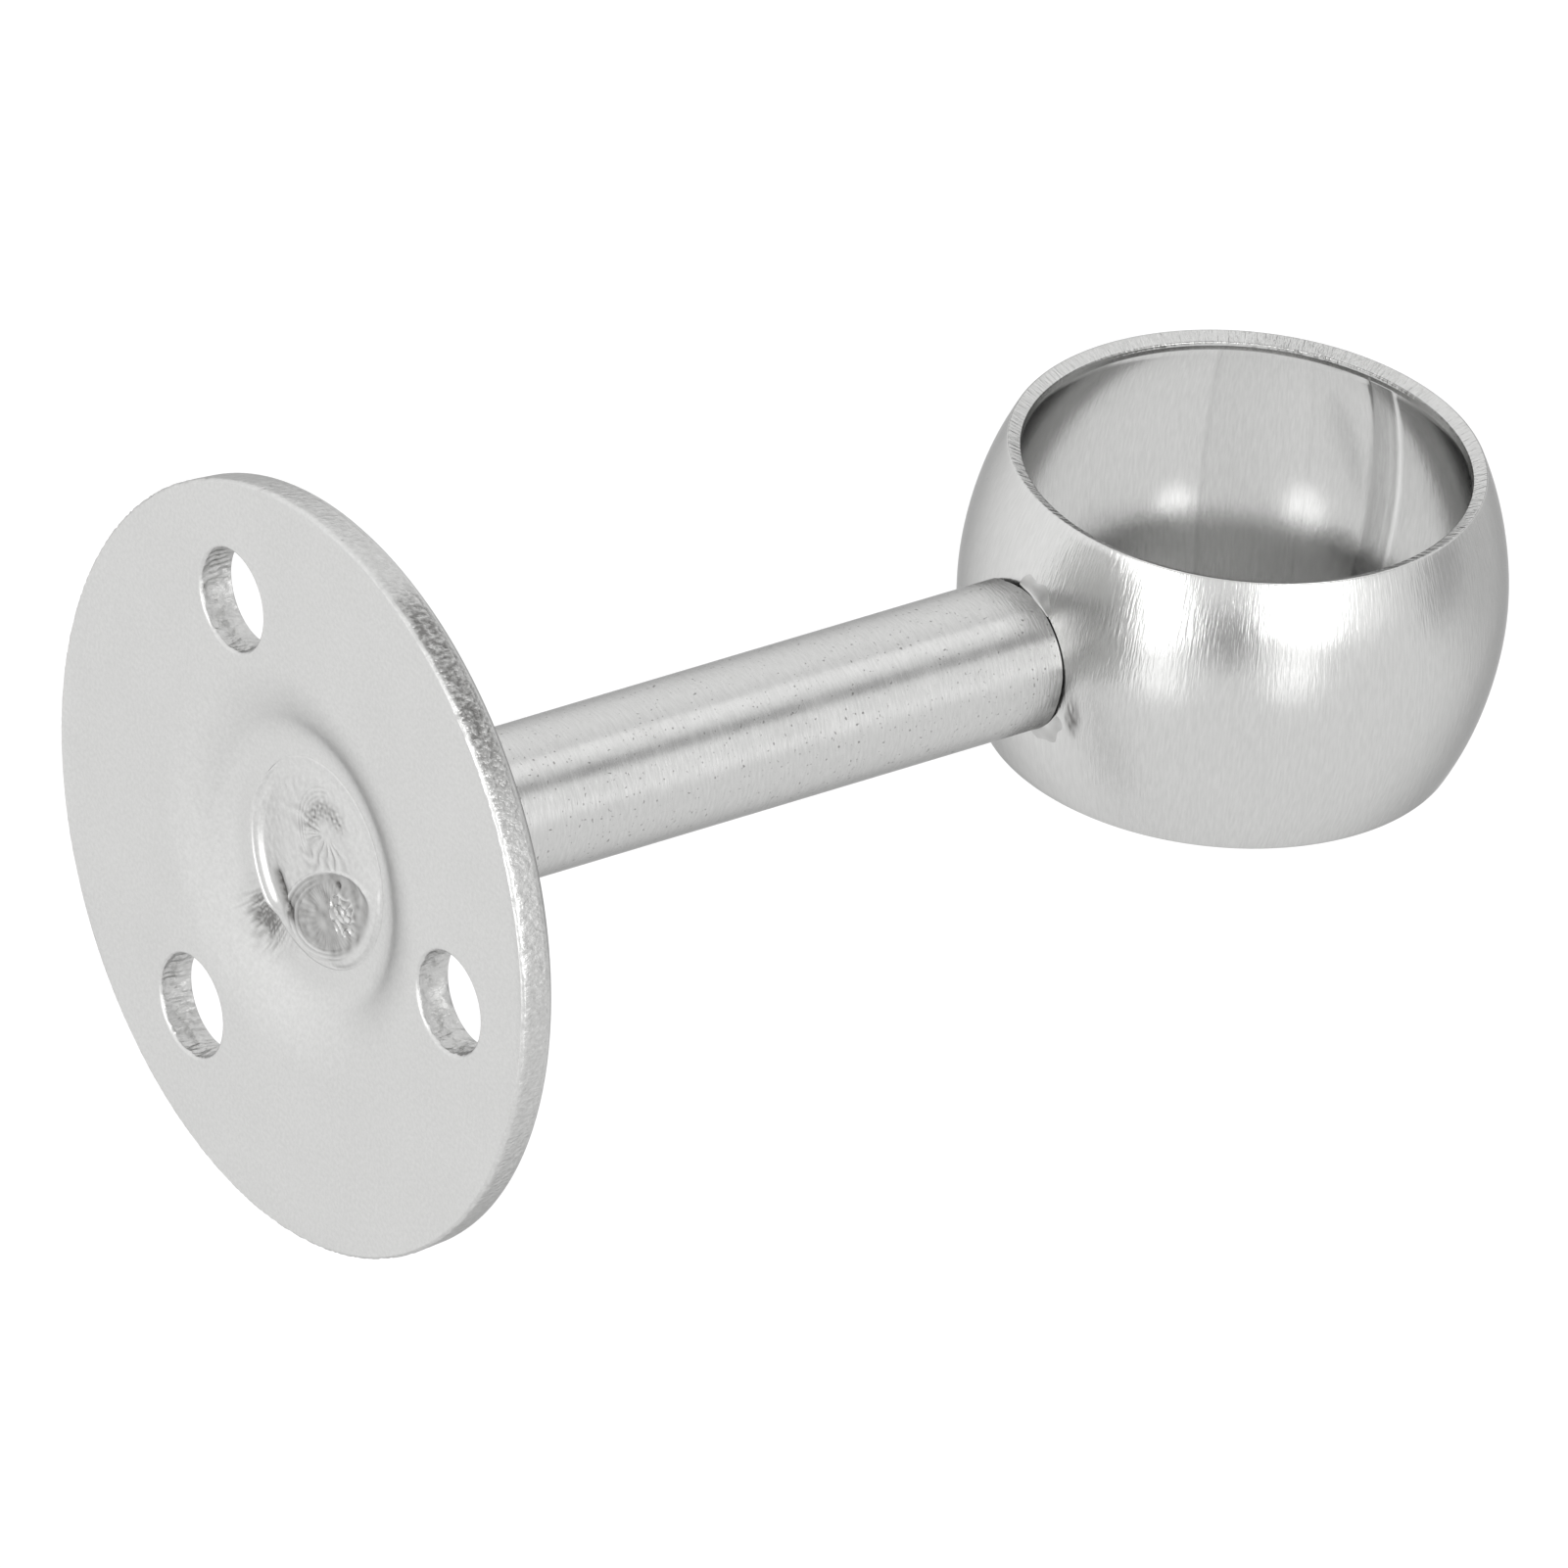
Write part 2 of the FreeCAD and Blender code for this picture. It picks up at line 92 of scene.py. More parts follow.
def view_axes(azimuth, elevation, roll):
    """Right, up and backward directions of a camera: level at first, then rolled about its line of sight."""
    back = Vector((math.sin(azimuth) * math.cos(elevation), -math.cos(azimuth) * math.cos(elevation),
                   math.sin(elevation)))
    level_right = Vector((math.cos(azimuth), math.sin(azimuth), 0))
    up = back.cross(level_right) * math.cos(roll) + level_right * math.sin(roll)
    return up.cross(back), up, back


def put(thing, location, right, up, back):
    """Put a camera or a lamp at a point, looking against its backward direction."""
    thing.matrix_world = Matrix.Translation(location) @ Matrix((right, up, back)).transposed().to_4x4()
    bpy.context.scene.collection.objects.link(thing)


RIGHT, UP, BACK = view_axes(CAMERA_AZIMUTH, CAMERA_ELEVATION, CAMERA_ROLL)
camera_data = bpy.data.cameras.new("camera")
camera_data.sensor_width = SENSOR_WIDTH
camera_data.lens = SENSOR_WIDTH * FOCAL_PER_WIDTH
camera_data.clip_end = 100
camera = bpy.data.objects.new("camera", camera_data)
put(camera, CAMERA_TARGET + BACK * CAMERA_DISTANCE, RIGHT, UP, BACK)
bpy.context.scene.camera = camera
print("camera at, mm:", [round(c / MM, 1) for c in camera.matrix_world.translation])

# %% [markdown]
# ## How a surface becomes a mesh
#
# Every piece here is made from surfaces: a surface is a grid of points, worked out as whole arrays from a
# formula of two parameters. One helper numbers the corners of a grid's squares. Another puts the grids of a
# piece into one mesh, sews together the points that two grids share, and turns all faces outwards. A sewn
# piece is closed, which is what a solid needs, so the helper counts the edges that aren't shared by exactly
# two faces and prints the count.

# %% Mesh helpers
SEW = 0.00002
SHARP = math.radians(35)


def grid_quads(rows, columns, first, wrapped):
    """Corner numbers of a grid's squares, points counted row by row.

    A wrapped grid's last column meets its first.
    """
    i, j = np.meshgrid(np.arange(rows - 1), np.arange(columns if wrapped else columns - 1), indexing="ij")
    k = (j + 1) % columns
    corners = np.stack([i * columns + j, i * columns + k, (i + 1) * columns + k, (i + 1) * columns + j], -1)
    return first + corners.reshape(-1, 4)


def surface(points, wrapped=True, **marks):
    """A grid of points in millimetres, with named marks: one number or one vector for each point."""
    return points, wrapped, marks


def joined_mark(mark, grids):
    """One mark of all the grids, point by point, with zeros where a grid doesn't have it."""
    width = max(np.ndim(marks[mark]) - 1 for points, wrapped, marks in grids if mark in marks)
    shape = (3,) if width == 2 else ()
    rows = [np.broadcast_to(marks.get(mark, 0.0), points.shape[:2] + shape).reshape((-1,) + shape)
            for points, wrapped, marks in grids]
    return np.concatenate(rows), "FLOAT_VECTOR" if shape else "FLOAT"


def make_mesh(name, grids):
    """Put grids of points, given in millimetres, into one mesh whose faces are the grids' squares."""
    points = np.concatenate([points.reshape(-1, 3) for points, wrapped, marks in grids])
    starts = np.cumsum([0] + [points[..., 0].size for points, wrapped, marks in grids])
    quads = np.concatenate([grid_quads(*points.shape[:2], start, wrapped)
                            for (points, wrapped, marks), start in zip(grids, starts)])
    mesh = bpy.data.meshes.new(name)
    mesh.vertices.add(len(points))
    mesh.vertices.foreach_set("co", (points * MM).astype(np.float32).ravel())
    mesh.loops.add(quads.size)
    mesh.loops.foreach_set("vertex_index", quads.astype(np.int32).ravel())
    mesh.polygons.add(len(quads))
    mesh.polygons.foreach_set("loop_start", np.arange(0, quads.size, 4, dtype=np.int32))
    for mark in sorted({mark for points, wrapped, marks in grids for mark in marks}):
        numbers, kind = joined_mark(mark, grids)
        field = "vector" if kind == "FLOAT_VECTOR" else "value"
        mesh.attributes.new(mark, kind, "POINT").data.foreach_set(field, numbers.astype(np.float32).ravel())
    mesh.update(calc_edges=True)
    return mesh


def make_piece(name, grids, node):
    """Sew the grids into one closed mesh with its faces outwards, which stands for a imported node."""
    mesh = make_mesh(name, grids)
    sewn = bmesh.new()
    sewn.from_mesh(mesh)
    bmesh.ops.remove_doubles(sewn, verts=sewn.verts, dist=SEW * MM)
    bmesh.ops.recalc_face_normals(sewn, faces=sewn.faces)
    loose = sum(not edge.is_manifold for edge in sewn.edges)
    volume = sewn.calc_volume() / MM ** 3
    sewn.to_mesh(mesh)
    sewn.free()
    mesh.polygons.foreach_set("use_smooth", np.ones(len(mesh.polygons), bool))
    mesh.set_sharp_from_angle(angle=SHARP)
    piece = bpy.data.objects.new(name, mesh)
    bpy.context.scene.collection.objects.link(piece)
    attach(piece, "root")
    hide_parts(node)
    triangles = sum(len(p.vertices) - 2 for p in mesh.polygons)
    print(f"{name}: {triangles} triangles, {loose} open edges, {volume:.1f} mm3")
    return piece


# %% [markdown]
# ## Uneven surfaces
#
# No worked metal is perfectly even. A smooth random field that repeats from run to run is a sum of plane
# waves: each has a fixed random direction, a wavelength near the size that is asked for, and a random start.
# Stretching the points before they go in stretches the field, which turns blotches into streaks.

# %% A smooth random field
def waves(points, size, seed, count=28):
    """A random field about one unit high: the scaled sum of sines of (point . direction / wavelength)."""
    chance = np.random.default_rng(seed)
    directions = chance.normal(size=(points.shape[-1], count))
    directions /= np.linalg.norm(directions, axis=0)
    wavelengths = size * chance.uniform(0.7, 1.6, count)
    starts = chance.uniform(0, 2 * np.pi, count)
    return np.sin(points @ (directions * 2 * np.pi / wavelengths) + starts).sum(-1) * math.sqrt(2 / count)


def ease(x, low, high):
    """A smooth step: 0 up to low, 1 from high on, with no corner between."""
    t = np.clip((x - low) / (high - low), 0, 1)
    return t * t * (3 - 2 * t)


def bump(distance, width):
    """A round bump one unit high: the bell curve of the distance over the width."""
    return np.exp(-(distance / width) ** 2)


def on_plate(radius, angle, y):
    """Points at a radius and an angle round the bar's axis, the angle from +X towards +Z."""
    radius, angle, y = np.broadcast_arrays(radius, angle, y)
    return np.stack([radius * np.cos(angle), y, radius * np.sin(angle)], -1)


# %% [markdown]
# ## The wall plate
#
# On the real bracket this is a disc blanked from 3 mm sheet, with three plain punched holes, and pulled in
# by 1.5 mm round the weld so that the weld clears the wall. Seen from behind it is the largest surface.
#
# It could be one turned profile with the holes cut by a boolean, but a boolean leaves ragged triangles at
# each hole, and they shade badly on a flat metal face. Instead the plate is two kinds of grid. The inner zone
# is a plain polar grid that carries the dip, whose floor stands a little towards the weld. The outer zone is
# cut into three equal sectors with one hole each. In polar coordinates a sector is a rectangle, and the hole
# is a rounded shape inside it, so a grid that runs from the hole's edge to the rectangle's border covers it
# with no seam.

# %% Sizes of the plate
PLATE_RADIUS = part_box("base_plate")[1].x / MM
PLATE_THICKNESS = 3.0
STEM_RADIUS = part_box("stem")[1].x / MM
STEM_HOLE = STEM_RADIUS + 0.05
WELD_RADIUS = 8.4
WELD_X, WELD_Z = 1.1, 1.6
DISH_DEPTH = 1.5
FOOT_X, FOOT_Z = 0.5 * WELD_X, 0.5 * WELD_Z
DISH_FLOOR = WELD_RADIUS + math.hypot(FOOT_X, FOOT_Z) + 0.1
DISH_EDGE = WELD_RADIUS + math.hypot(WELD_X, WELD_Z) + 6.1
FOOT_BEND = 5.5
SCREW_CIRCLE = 21.0
SCREW_RADIUS = 4.1
SCREW_COUNT = 3
EDGE_BREAK = 0.35
print("plate radius", round(PLATE_RADIUS, 2), "dip from", round(DISH_FLOOR, 2), "to", round(DISH_EDGE, 2))

# %% The dip's section
BOTH_BENDS = ((DISH_EDGE - DISH_FLOOR) ** 2 + DISH_DEPTH ** 2) / (2 * DISH_DEPTH)
SHOULDER_BEND = BOTH_BENDS - FOOT_BEND
DISH_SLOPE = math.asin((DISH_EDGE - DISH_FLOOR) / BOTH_BENDS)
FOOT_END = DISH_FLOOR + FOOT_BEND * math.sin(DISH_SLOPE)


def dish_slope(radius):
    """Slope of the wall side: it grows along the foot's arc and falls to nothing along the shoulder's."""
    foot = np.arcsin(np.clip((radius - DISH_FLOOR) / FOOT_BEND, 0, 1))
    shoulder = np.arcsin(np.clip((DISH_EDGE - radius) / SHOULDER_BEND, 0, 1))
    return np.where(radius < DISH_FLOOR, 0, np.where(radius < FOOT_END, foot, shoulder))


def wall_side(radius):
    """Height of the wall side: flat floor, foot arc, shoulder arc, then the wall face at zero."""
    slope = dish_slope(radius)
    foot = FOOT_BEND * (1 - np.cos(slope)) - DISH_DEPTH
    shoulder = -SHOULDER_BEND * (1 - np.cos(slope))
    return np.where(radius < DISH_FLOOR, -DISH_DEPTH, np.where(radius < FOOT_END, foot, shoulder))


print("steepest slope, degrees:", round(math.degrees(DISH_SLOPE), 1))

# %% Inner zone of the plate
INNER_ANGLES = 360
SECTOR = 2 * math.pi / SCREW_COUNT
FIRST_ANGLE = math.pi / 2 - SECTOR / 2
SCORCH_X, SCORCH_Z = WELD_X - 7.9, WELD_Z - 5.5
inner_angle = FIRST_ANGLE + np.arange(INNER_ANGLES) * 2 * np.pi / INNER_ANGLES


def wall_unevenness(points):
    """The wall side's slight waviness, which fades out at the weld's floor so that the weld still seats."""
    away = ease(np.hypot(points[..., 0], points[..., 2]), DISH_FLOOR, DISH_FLOOR + 3)
    return 0.008 * away * (waves(points, 14, seed=3) - 2.4)


def scorch(points):
    """The heat-tinted spot beside the weld, 0 to 1: a blotch that frays into rays pointing away from the weld.
    """
    x, z = points[..., 0] - SCORCH_X, points[..., 2] - SCORCH_Z
    turn = np.arctan2(points[..., 2] - WELD_Z, points[..., 0] - WELD_X)
    away = np.hypot(x, 0.85 * z)
    rays = waves(np.stack([30 * turn, 0.4 * away], -1), 0.9, seed=8)
    fleck = waves(np.stack([x, z], -1), 0.45, seed=9)
    core = 1 - ease(away, 0.3, 2.6)
    return np.clip(core * (0.8 + 0.2 * fleck) + 0.25 * (1 - ease(away, 1.2, 4.0)) * (0.6 + rays), 0, 1)


def inner_zone(steps_on_floor, steps_at_foot, steps_at_shoulder):
    """Polar grids of the dip's two sides: the room side lies one thickness behind, square to the slope.

    The floor's circle stands off the middle towards the weld, and the rows on both sides of it even that out.
    """
    radius = np.concatenate([
        np.linspace(STEM_HOLE, DISH_FLOOR, steps_on_floor)[:-1],
        np.linspace(DISH_FLOOR, FOOT_END, steps_at_foot)[:-1],
        np.linspace(FOOT_END, DISH_EDGE, steps_at_shoulder),
    ])[:, None]
    slope = dish_slope(radius)
    nearness = np.interp(radius, [STEM_HOLE, DISH_FLOOR, DISH_EDGE], [0, 1, 0])
    off_middle = nearness[..., None] * (FOOT_X, 0, FOOT_Z)
    wall = on_plate(radius, inner_angle, wall_side(radius)) + off_middle
    wall[..., 1] += wall_unevenness(wall)
    room = on_plate(radius + PLATE_THICKNESS * np.sin(slope), inner_angle,
                    wall_side(radius) - PLATE_THICKNESS * np.cos(slope)) + off_middle
    depths = np.linspace(-DISH_DEPTH, -DISH_DEPTH - PLATE_THICKNESS, 4)[:, None]
    bore = on_plate(STEM_HOLE, inner_angle, depths)
    every_other = np.r_[0:len(room) - 1:2, len(room) - 1]
    return [surface(wall, burnt=scorch(wall)), surface(room[every_other]), surface(bore)]


inner_grids = inner_zone(steps_on_floor=26, steps_at_foot=10, steps_at_shoulder=26)
print("inner zone points:", sum(points[..., 0].size for points, wrapped, marks in inner_grids))

# %% Outer zone of the plate
RIM_STEPS = 240
SIDE_STEPS = 12
ROOM_ROUND = 0.45
RIM_TAPER = 0.08
ROOM_EDGE = PLATE_RADIUS - ROOM_ROUND - RIM_TAPER * (PLATE_THICKNESS - EDGE_BREAK)


def sector_border(rim_radius):
    """Border points of one sector's rectangle, as (radius, angle from its middle), once round."""
    half = SECTOR / 2
    inner = np.linspace(-half, half, INNER_ANGLES // SCREW_COUNT + 1)
    side = np.linspace(DISH_EDGE, rim_radius, SIDE_STEPS + 1)
    outer = np.linspace(half, -half, RIM_STEPS + 1)
    radius = np.concatenate([np.full(len(inner) - 1, DISH_EDGE), side[:-1],
                             np.full(len(outer) - 1, rim_radius), side[:0:-1]])
    angle = np.concatenate([inner[:-1], np.full(SIDE_STEPS, half), outer[:-1], np.full(SIDE_STEPS, -half)])
    return radius, angle


def hole_direction(radius, angle):
    """Direction from the hole's middle to a border point, angles unrolled at the screw circle."""
    return np.arctan2(SCREW_CIRCLE * angle, radius - SCREW_CIRCLE)


def sector_face(middle, rim_radius, hole_radius, height, steps):
    """A sector's flat grid: each row is a share of the way from the hole's edge to the border."""
    radius, angle = sector_border(rim_radius)
    turn = hole_direction(radius, angle)
    x, z = SCREW_CIRCLE + hole_radius * np.cos(turn), hole_radius * np.sin(turn)
    share = (np.linspace(0, 1, steps)[:, None]) ** 1.4
    row_radius = np.hypot(x, z) * (1 - share) + radius * share
    row_angle = np.arctan2(z, x) * (1 - share) + angle * share
    return on_plate(row_radius, middle + row_angle, height)


HOLE_ROUND = 0.28
HOLE_BREAK = 0.12
TORN_BY = 0.09


def hole_profile():
    """A punched hole's wall as (how far it stands outside the radius, y), from wall side to room side.

    A small rounding where the punch came out, a torn band that is a little wider, a smooth cut band, and a
    short broken corner on the room side.
    """
    turn = np.linspace(0, np.pi / 2, 6)
    rounding = np.stack([HOLE_ROUND * (1 - np.sin(turn)), -HOLE_ROUND * (1 - np.cos(turn))], -1)
    depth = np.linspace(HOLE_ROUND, PLATE_THICKNESS - HOLE_BREAK, 11)[1:]
    torn = TORN_BY * (ease(depth, HOLE_ROUND, 0.7) - ease(depth, 1.2, 1.5))
    corner = np.array([[HOLE_BREAK, -PLATE_THICKNESS]])
    return np.concatenate([rounding, np.stack([torn, -depth], -1), corner])


def screw_hole(middle, seed):
    """A hole's wall: the profile carried once round, with torn metal standing in and out of it."""
    turn = hole_direction(*sector_border(PLATE_RADIUS))
    out, y = hole_profile().T[:, :, None]
    circle = SCREW_RADIUS * np.cos(turn), SCREW_RADIUS * np.sin(turn)
    along = np.stack(np.broadcast_arrays(*circle, 0.5 * y), -1)
    rough = ease(-y, 0.1, 0.4) * (1 - ease(-y, PLATE_THICKNESS - 0.3, PLATE_THICKNESS - 0.05))
    out = out + rough * (0.035 * waves(along, 0.5, seed) + 0.03 * waves(along, 1.6, seed + 1))
    radius = SCREW_RADIUS + out
    x, z = SCREW_CIRCLE + radius * np.cos(turn), radius * np.sin(turn)
    return on_plate(np.hypot(x, z), middle + np.arctan2(z, x), y)


def outer_zone():
    """The three sectors' two faces and the walls of their holes."""
    grids = []
    for number in range(SCREW_COUNT):
        middle = math.pi / 2 + number * SECTOR
        wall = sector_face(middle, PLATE_RADIUS - EDGE_BREAK, SCREW_RADIUS + HOLE_ROUND, 0.0, steps=12)
        wall[..., 1] += wall_unevenness(wall)
        room = sector_face(middle, ROOM_EDGE, SCREW_RADIUS + HOLE_BREAK, -PLATE_THICKNESS, steps=6)
        hole = screw_hole(middle, seed=20 + 2 * number)
        hole[0] = wall[0]
        hole[-1] = room[0]
        cut = 0.4 * ease(-hole[..., 1], 0.05, 0.3)
        grids += [surface(wall, burnt=scorch(wall)), surface(room), surface(hole, cut=cut)]
    return grids


outer_grids = outer_zone()
print("outer zone points:", sum(points[..., 0].size for points, wrapped, marks in outer_grids))


# %% Rim of the plate
def rim_profile():
    """The blanked edge as (radius, y): a narrow broken edge, the cut, and a rolled-over corner.

    The die's clearance makes the cut taper a little towards the room side.
    """
    turn = np.linspace(0, np.pi / 2, 6)
    wall_corner = np.stack([PLATE_RADIUS - EDGE_BREAK * (1 - np.sin(turn)),
                            -EDGE_BREAK * (1 - np.cos(turn))], -1)
    cut = np.linspace(-EDGE_BREAK, ROOM_ROUND - PLATE_THICKNESS, 10)[1:-1]
    room_corner = np.stack([PLATE_RADIUS - ROOM_ROUND * (1 - np.cos(turn)),
                            -PLATE_THICKNESS + ROOM_ROUND * (1 - np.sin(turn))], -1)
    profile = np.concatenate([wall_corner, np.stack([np.full(len(cut), PLATE_RADIUS), cut], -1), room_corner])
    profile[:, 0] -= RIM_TAPER * np.clip(-profile[:, 1] - EDGE_BREAK, 0, None)
    return profile


def make_rim():
    """The rim's profile carried round, with the cut's ridges pressed in by up to a tenth of a millimetre.

    The metal is torn most on the stretch from about 20 to 50 degrees, where the die was worn. Its
    rolled corner is painted darker from about 20 to 75 degrees, a painted shade.
    """
    angle = FIRST_ANGLE + np.arange(RIM_STEPS * SCREW_COUNT) * 2 * np.pi / (RIM_STEPS * SCREW_COUNT)
    radius, y = rim_profile().T[:, :, None]
    round_rim = np.stack(np.broadcast_arrays(30 * np.cos(angle), y, 30 * np.sin(angle)), -1)
    coarse = waves(round_rim * (1, 0.4, 1), 0.9, seed=11)
    ridges = 0.7 * coarse + waves(round_rim * (1, 0.7, 1), 0.45, seed=12)
    degrees = np.degrees(angle) % 360
    torn = 0.45 + 0.55 * ease(degrees, 12, 22) * (1 - ease(degrees, 38, 60))
    on_cut = ease(-y, 0.1, 0.45) * (1 - ease(-y, PLATE_THICKNESS - 0.8, PLATE_THICKNESS - 0.35))
    corner_wobble = 0.05 * ease(-y, 0, 0.1) * (1 - ease(-y, 0.3, 0.7)) * waves(round_rim, 0.7, seed=13)
    radius = radius - 0.026 * torn * on_cut * np.maximum(1.8 + ridges, 0) - np.abs(corner_wobble)
    stretch = ease(degrees, 14, 24) * (1 - ease(degrees, 60, 90))
    # painted shade: the rolled corner's colour is darkened along this stretch
    rolled = 0.55 * bump(-y - PLATE_THICKNESS + 0.2, 0.16) * stretch
    return on_plate(radius, angle, y), on_cut * torn, rolled


rim, rim_cut, rim_painted_shade = make_rim()
rim[0, :, 1] += wall_unevenness(rim[0])
plate = make_piece("wall_plate", inner_grids + outer_grids + [surface(rim, cut=rim_cut, burnt=rim_painted_shade)],
                   "base_plate")

# %% [markdown]
# ## The bar
#
# A length of 12 mm round bar. One end is hidden in the plate under the weld. The other is coped: it is cut to
# the double curve of the ring, so that it butts against it with a hairline gap. The end's surface follows
# from the ring's own formula, which is a barrel: the distance of its wall from the pole's axis is the crown
# arc's height at that place along the pole. The cope was ground by hand, so the gap isn't the same all round:
# it is widest on one side and closes to a hairline on the other.

# %% The ring's sizes and the bar
RING_RADIUS = 21.2
RING_NECK = 2.7
RING_HALF_WIDTH = 12.0
RING_WALL = 1.5
POLE_Y = -88.5
CROWN = (RING_HALF_WIDTH ** 2 + RING_NECK ** 2) / (2 * RING_NECK)
HAIRLINE = 0.11
WIDE_GAP = 0.44
STEM_START = -DISH_DEPTH - 1.0


def barrel(x, crown):
    """Distance from the pole's axis to a barrel wall at x: an arc of the crown's radius about one centre."""
    return RING_RADIUS - CROWN + np.sqrt(crown ** 2 - x ** 2)


def on_ring(x, z, gap=0.0):
    """The y at which a line along the bar meets the ring, grown by the gap."""
    return POLE_Y + np.sqrt(barrel(x, CROWN + gap) ** 2 - z ** 2)


def cope_gap(angle):
    """Width of the gap at an angle round the bar: a hairline, wide near -18 degrees and a little near 100."""
    wide = np.exp(-((np.degrees(angle) + 180 + 16) % 360 - 180) ** 2 / (2 * 14 ** 2))
    open_below = np.exp(-((np.degrees(angle) + 180 - 104) % 360 - 180) ** 2 / (2 * 16 ** 2))
    return HAIRLINE + WIDE_GAP * wide + 0.5 * WIDE_GAP * open_below


def make_bar():
    """A flat hidden start, the round side, and the coped end, each a polar grid round the bar's axis."""
    angle = np.arange(300) * 2 * np.pi / 300
    across = np.linspace(0, STEM_RADIUS, 14)[:, None]
    start = on_plate(across[[0, -1]], angle, STEM_START)
    gap = cope_gap(angle)
    x, z = STEM_RADIUS * np.cos(angle), STEM_RADIUS * np.sin(angle)
    share = np.linspace(0, 1, 90)[:, None]
    side = on_plate(STEM_RADIUS, angle, STEM_START * (1 - share) + on_ring(x, z, gap) * share)
    end = on_plate(across, angle, 0)
    outwards = np.linspace(0, 1, 14)[:, None]
    end[..., 1] = on_ring(end[..., 0], end[..., 2], gap * outwards + 0.15 * (1 - outwards))
    return [surface(start), surface(side), surface(end)]


bar = make_piece("round_bar", make_bar(), "stem")
print("crown radius", round(CROWN, 2), "bar ends at y", round(float(on_ring(0, 0)), 2))

# %% [markdown]
# ## The ring
#
# A slice of 42.4 mm tube, necked in at both ends in a press, which bends the wall to a barrel. The tube was
# cut square before it was necked, so its end faces lean in. It is a turned profile: the outer arc, a broken
# corner, the end face, a thin flared mouth that guides the pole, and the inner arc, carried round the pole's
# axis. The tube was rolled from strip and welded, and the flattened weld seam still shows inside.
#
# The brushing on the ring runs along the pole. So that the pattern can follow the wall, each point also keeps
# its place on an unrolled ring: the length along the profile, and a place on a circle of the ring's radius.

# %% The ring's profile
BORE_RADIUS = 17.395
CORNER = 0.14
FLARE = 0.04
FLARE_LENGTH = 0.3
SAWN_AT = -40.0
SEAM_ANGLE = math.radians(-17)
SEAM_HALF_WIDTH = math.radians(4.2)


def arc_row(crown, half_width, steps):
    """(x, distance from the axis) along a barrel arc from -half_width to +half_width."""
    x = np.linspace(-half_width, half_width, steps)
    return np.stack([x, barrel(x, crown)], -1)


def bent(start, corner, end, steps):
    """A rounded corner: the quadratic curve that leaves towards the corner and arrives from it."""
    t = np.linspace(0, 1, steps)[:, None]
    return (1 - t) ** 2 * start + 2 * t * (1 - t) * corner + t ** 2 * end


def ring_profile():
    """The ring's closed section as (x, distance from the axis), and which points are on a face or inside."""
    spread = math.asin(RING_HALF_WIDTH / CROWN)
    inner_crown = CROWN - RING_WALL
    centre = RING_RADIUS - CROWN
    corner = np.array([RING_HALF_WIDTH, centre + CROWN * math.cos(spread)])
    lip = np.array([inner_crown * math.sin(spread), centre + inner_crown * math.cos(spread)])
    face = (lip - corner) / np.linalg.norm(lip - corner)
    mouth = corner + (corner[1] - BORE_RADIUS - FLARE) / (corner[1] - lip[1]) * (lip - corner)
    flare_start = mouth - (FLARE_LENGTH, FLARE)
    land_start = math.sqrt(inner_crown ** 2 - (BORE_RADIUS - centre) ** 2)
    outer = arc_row(CROWN, RING_HALF_WIDTH - CORNER, 44)
    inner = arc_row(inner_crown, land_start, 34)[::-1]
    face_start, face_end = corner + face * CORNER, mouth - face * 0.12
    across_face = face_start + np.linspace(0, 1, 7)[1:-1, None] * (face_end - face_start)
    right = np.concatenate([
        bent(outer[-1], corner, face_start, 5)[1:],
        across_face,
        bent(face_end, mouth, mouth - (0.3 * FLARE_LENGTH, 0.3 * FLARE), 4),
        flare_start[None],
        np.array([[land_start + 0.03, BORE_RADIUS]]),
    ])
    on_face = np.concatenate([np.zeros(2), np.ones(len(across_face) + 4), np.full(2, 0.5), np.zeros(2)])
    left = right[::-1] * (-1, 1)
    points = np.concatenate([outer, right, inner, left])
    faces = np.concatenate([np.zeros(len(outer)), on_face, np.zeros(len(inner)), on_face[::-1]])
    inside = np.concatenate([np.zeros(len(outer) + len(right)), np.ones(len(inner)), np.zeros(len(left))])
    return points, faces, inside


profile, on_face, inside = ring_profile()
print("profile points", len(profile), "bore", round(2 * float(profile[:, 1].min()), 2), "mm across")


# %% Marks on the ring
SOOT_X, SOOT_Z = -2.1, 6.9


def seam_lines_and_painted_shade(degrees, x):
    """Dark and light lines along the inside, -1 to 1: the seam's strip with its edges, fainter lines, a darker
    band beyond the strip, and painted shade towards the -X end.
    """
    wander = 0.35 * np.sin(x * 0.5 + 1)
    edge = -0.6 * bump(degrees + 21 + wander, 0.9)
    bead = 0.5 * bump(degrees + 13.6, 0.6) + 0.3 * bump(degrees + 16.2, 0.5)
    beyond = -0.45 * ease(degrees, -13.2, -12.4) * (1 - ease(degrees, 10, 60))
    strip = -0.8 * ease(degrees, -22, -20) * (1 - ease(degrees, -14.4, -13.8))
    # painted shade: the inside is darkened towards the -X end
    painted_shade_near_end = -0.6 * (1 - ease(x, -6.6, -5.2))
    faint = -0.3 * bump(degrees + 60.4, 0.6) - 0.16 * bump(degrees + 36.7, 0.5)
    duller = -0.16 * ease(degrees, -61, -59) * (1 - ease(degrees, -58, -36))
    return edge + bead + beyond + strip + faint + duller + painted_shade_near_end


def joint_soot(x, z):
    """Soot beside the joint's lowest stretch, 0 to 1: a blotch with streaks that run away from the bar."""
    away = np.hypot((x - SOOT_X) / 1.6, (z - SOOT_Z) / 0.6)
    streaks = waves(np.stack([1.2 * x, 4 * z], -1), 1.0, seed=51)
    return np.clip((1 - ease(away, 0.4, 1.5)) * (0.75 + 0.35 * streaks), 0, 1)


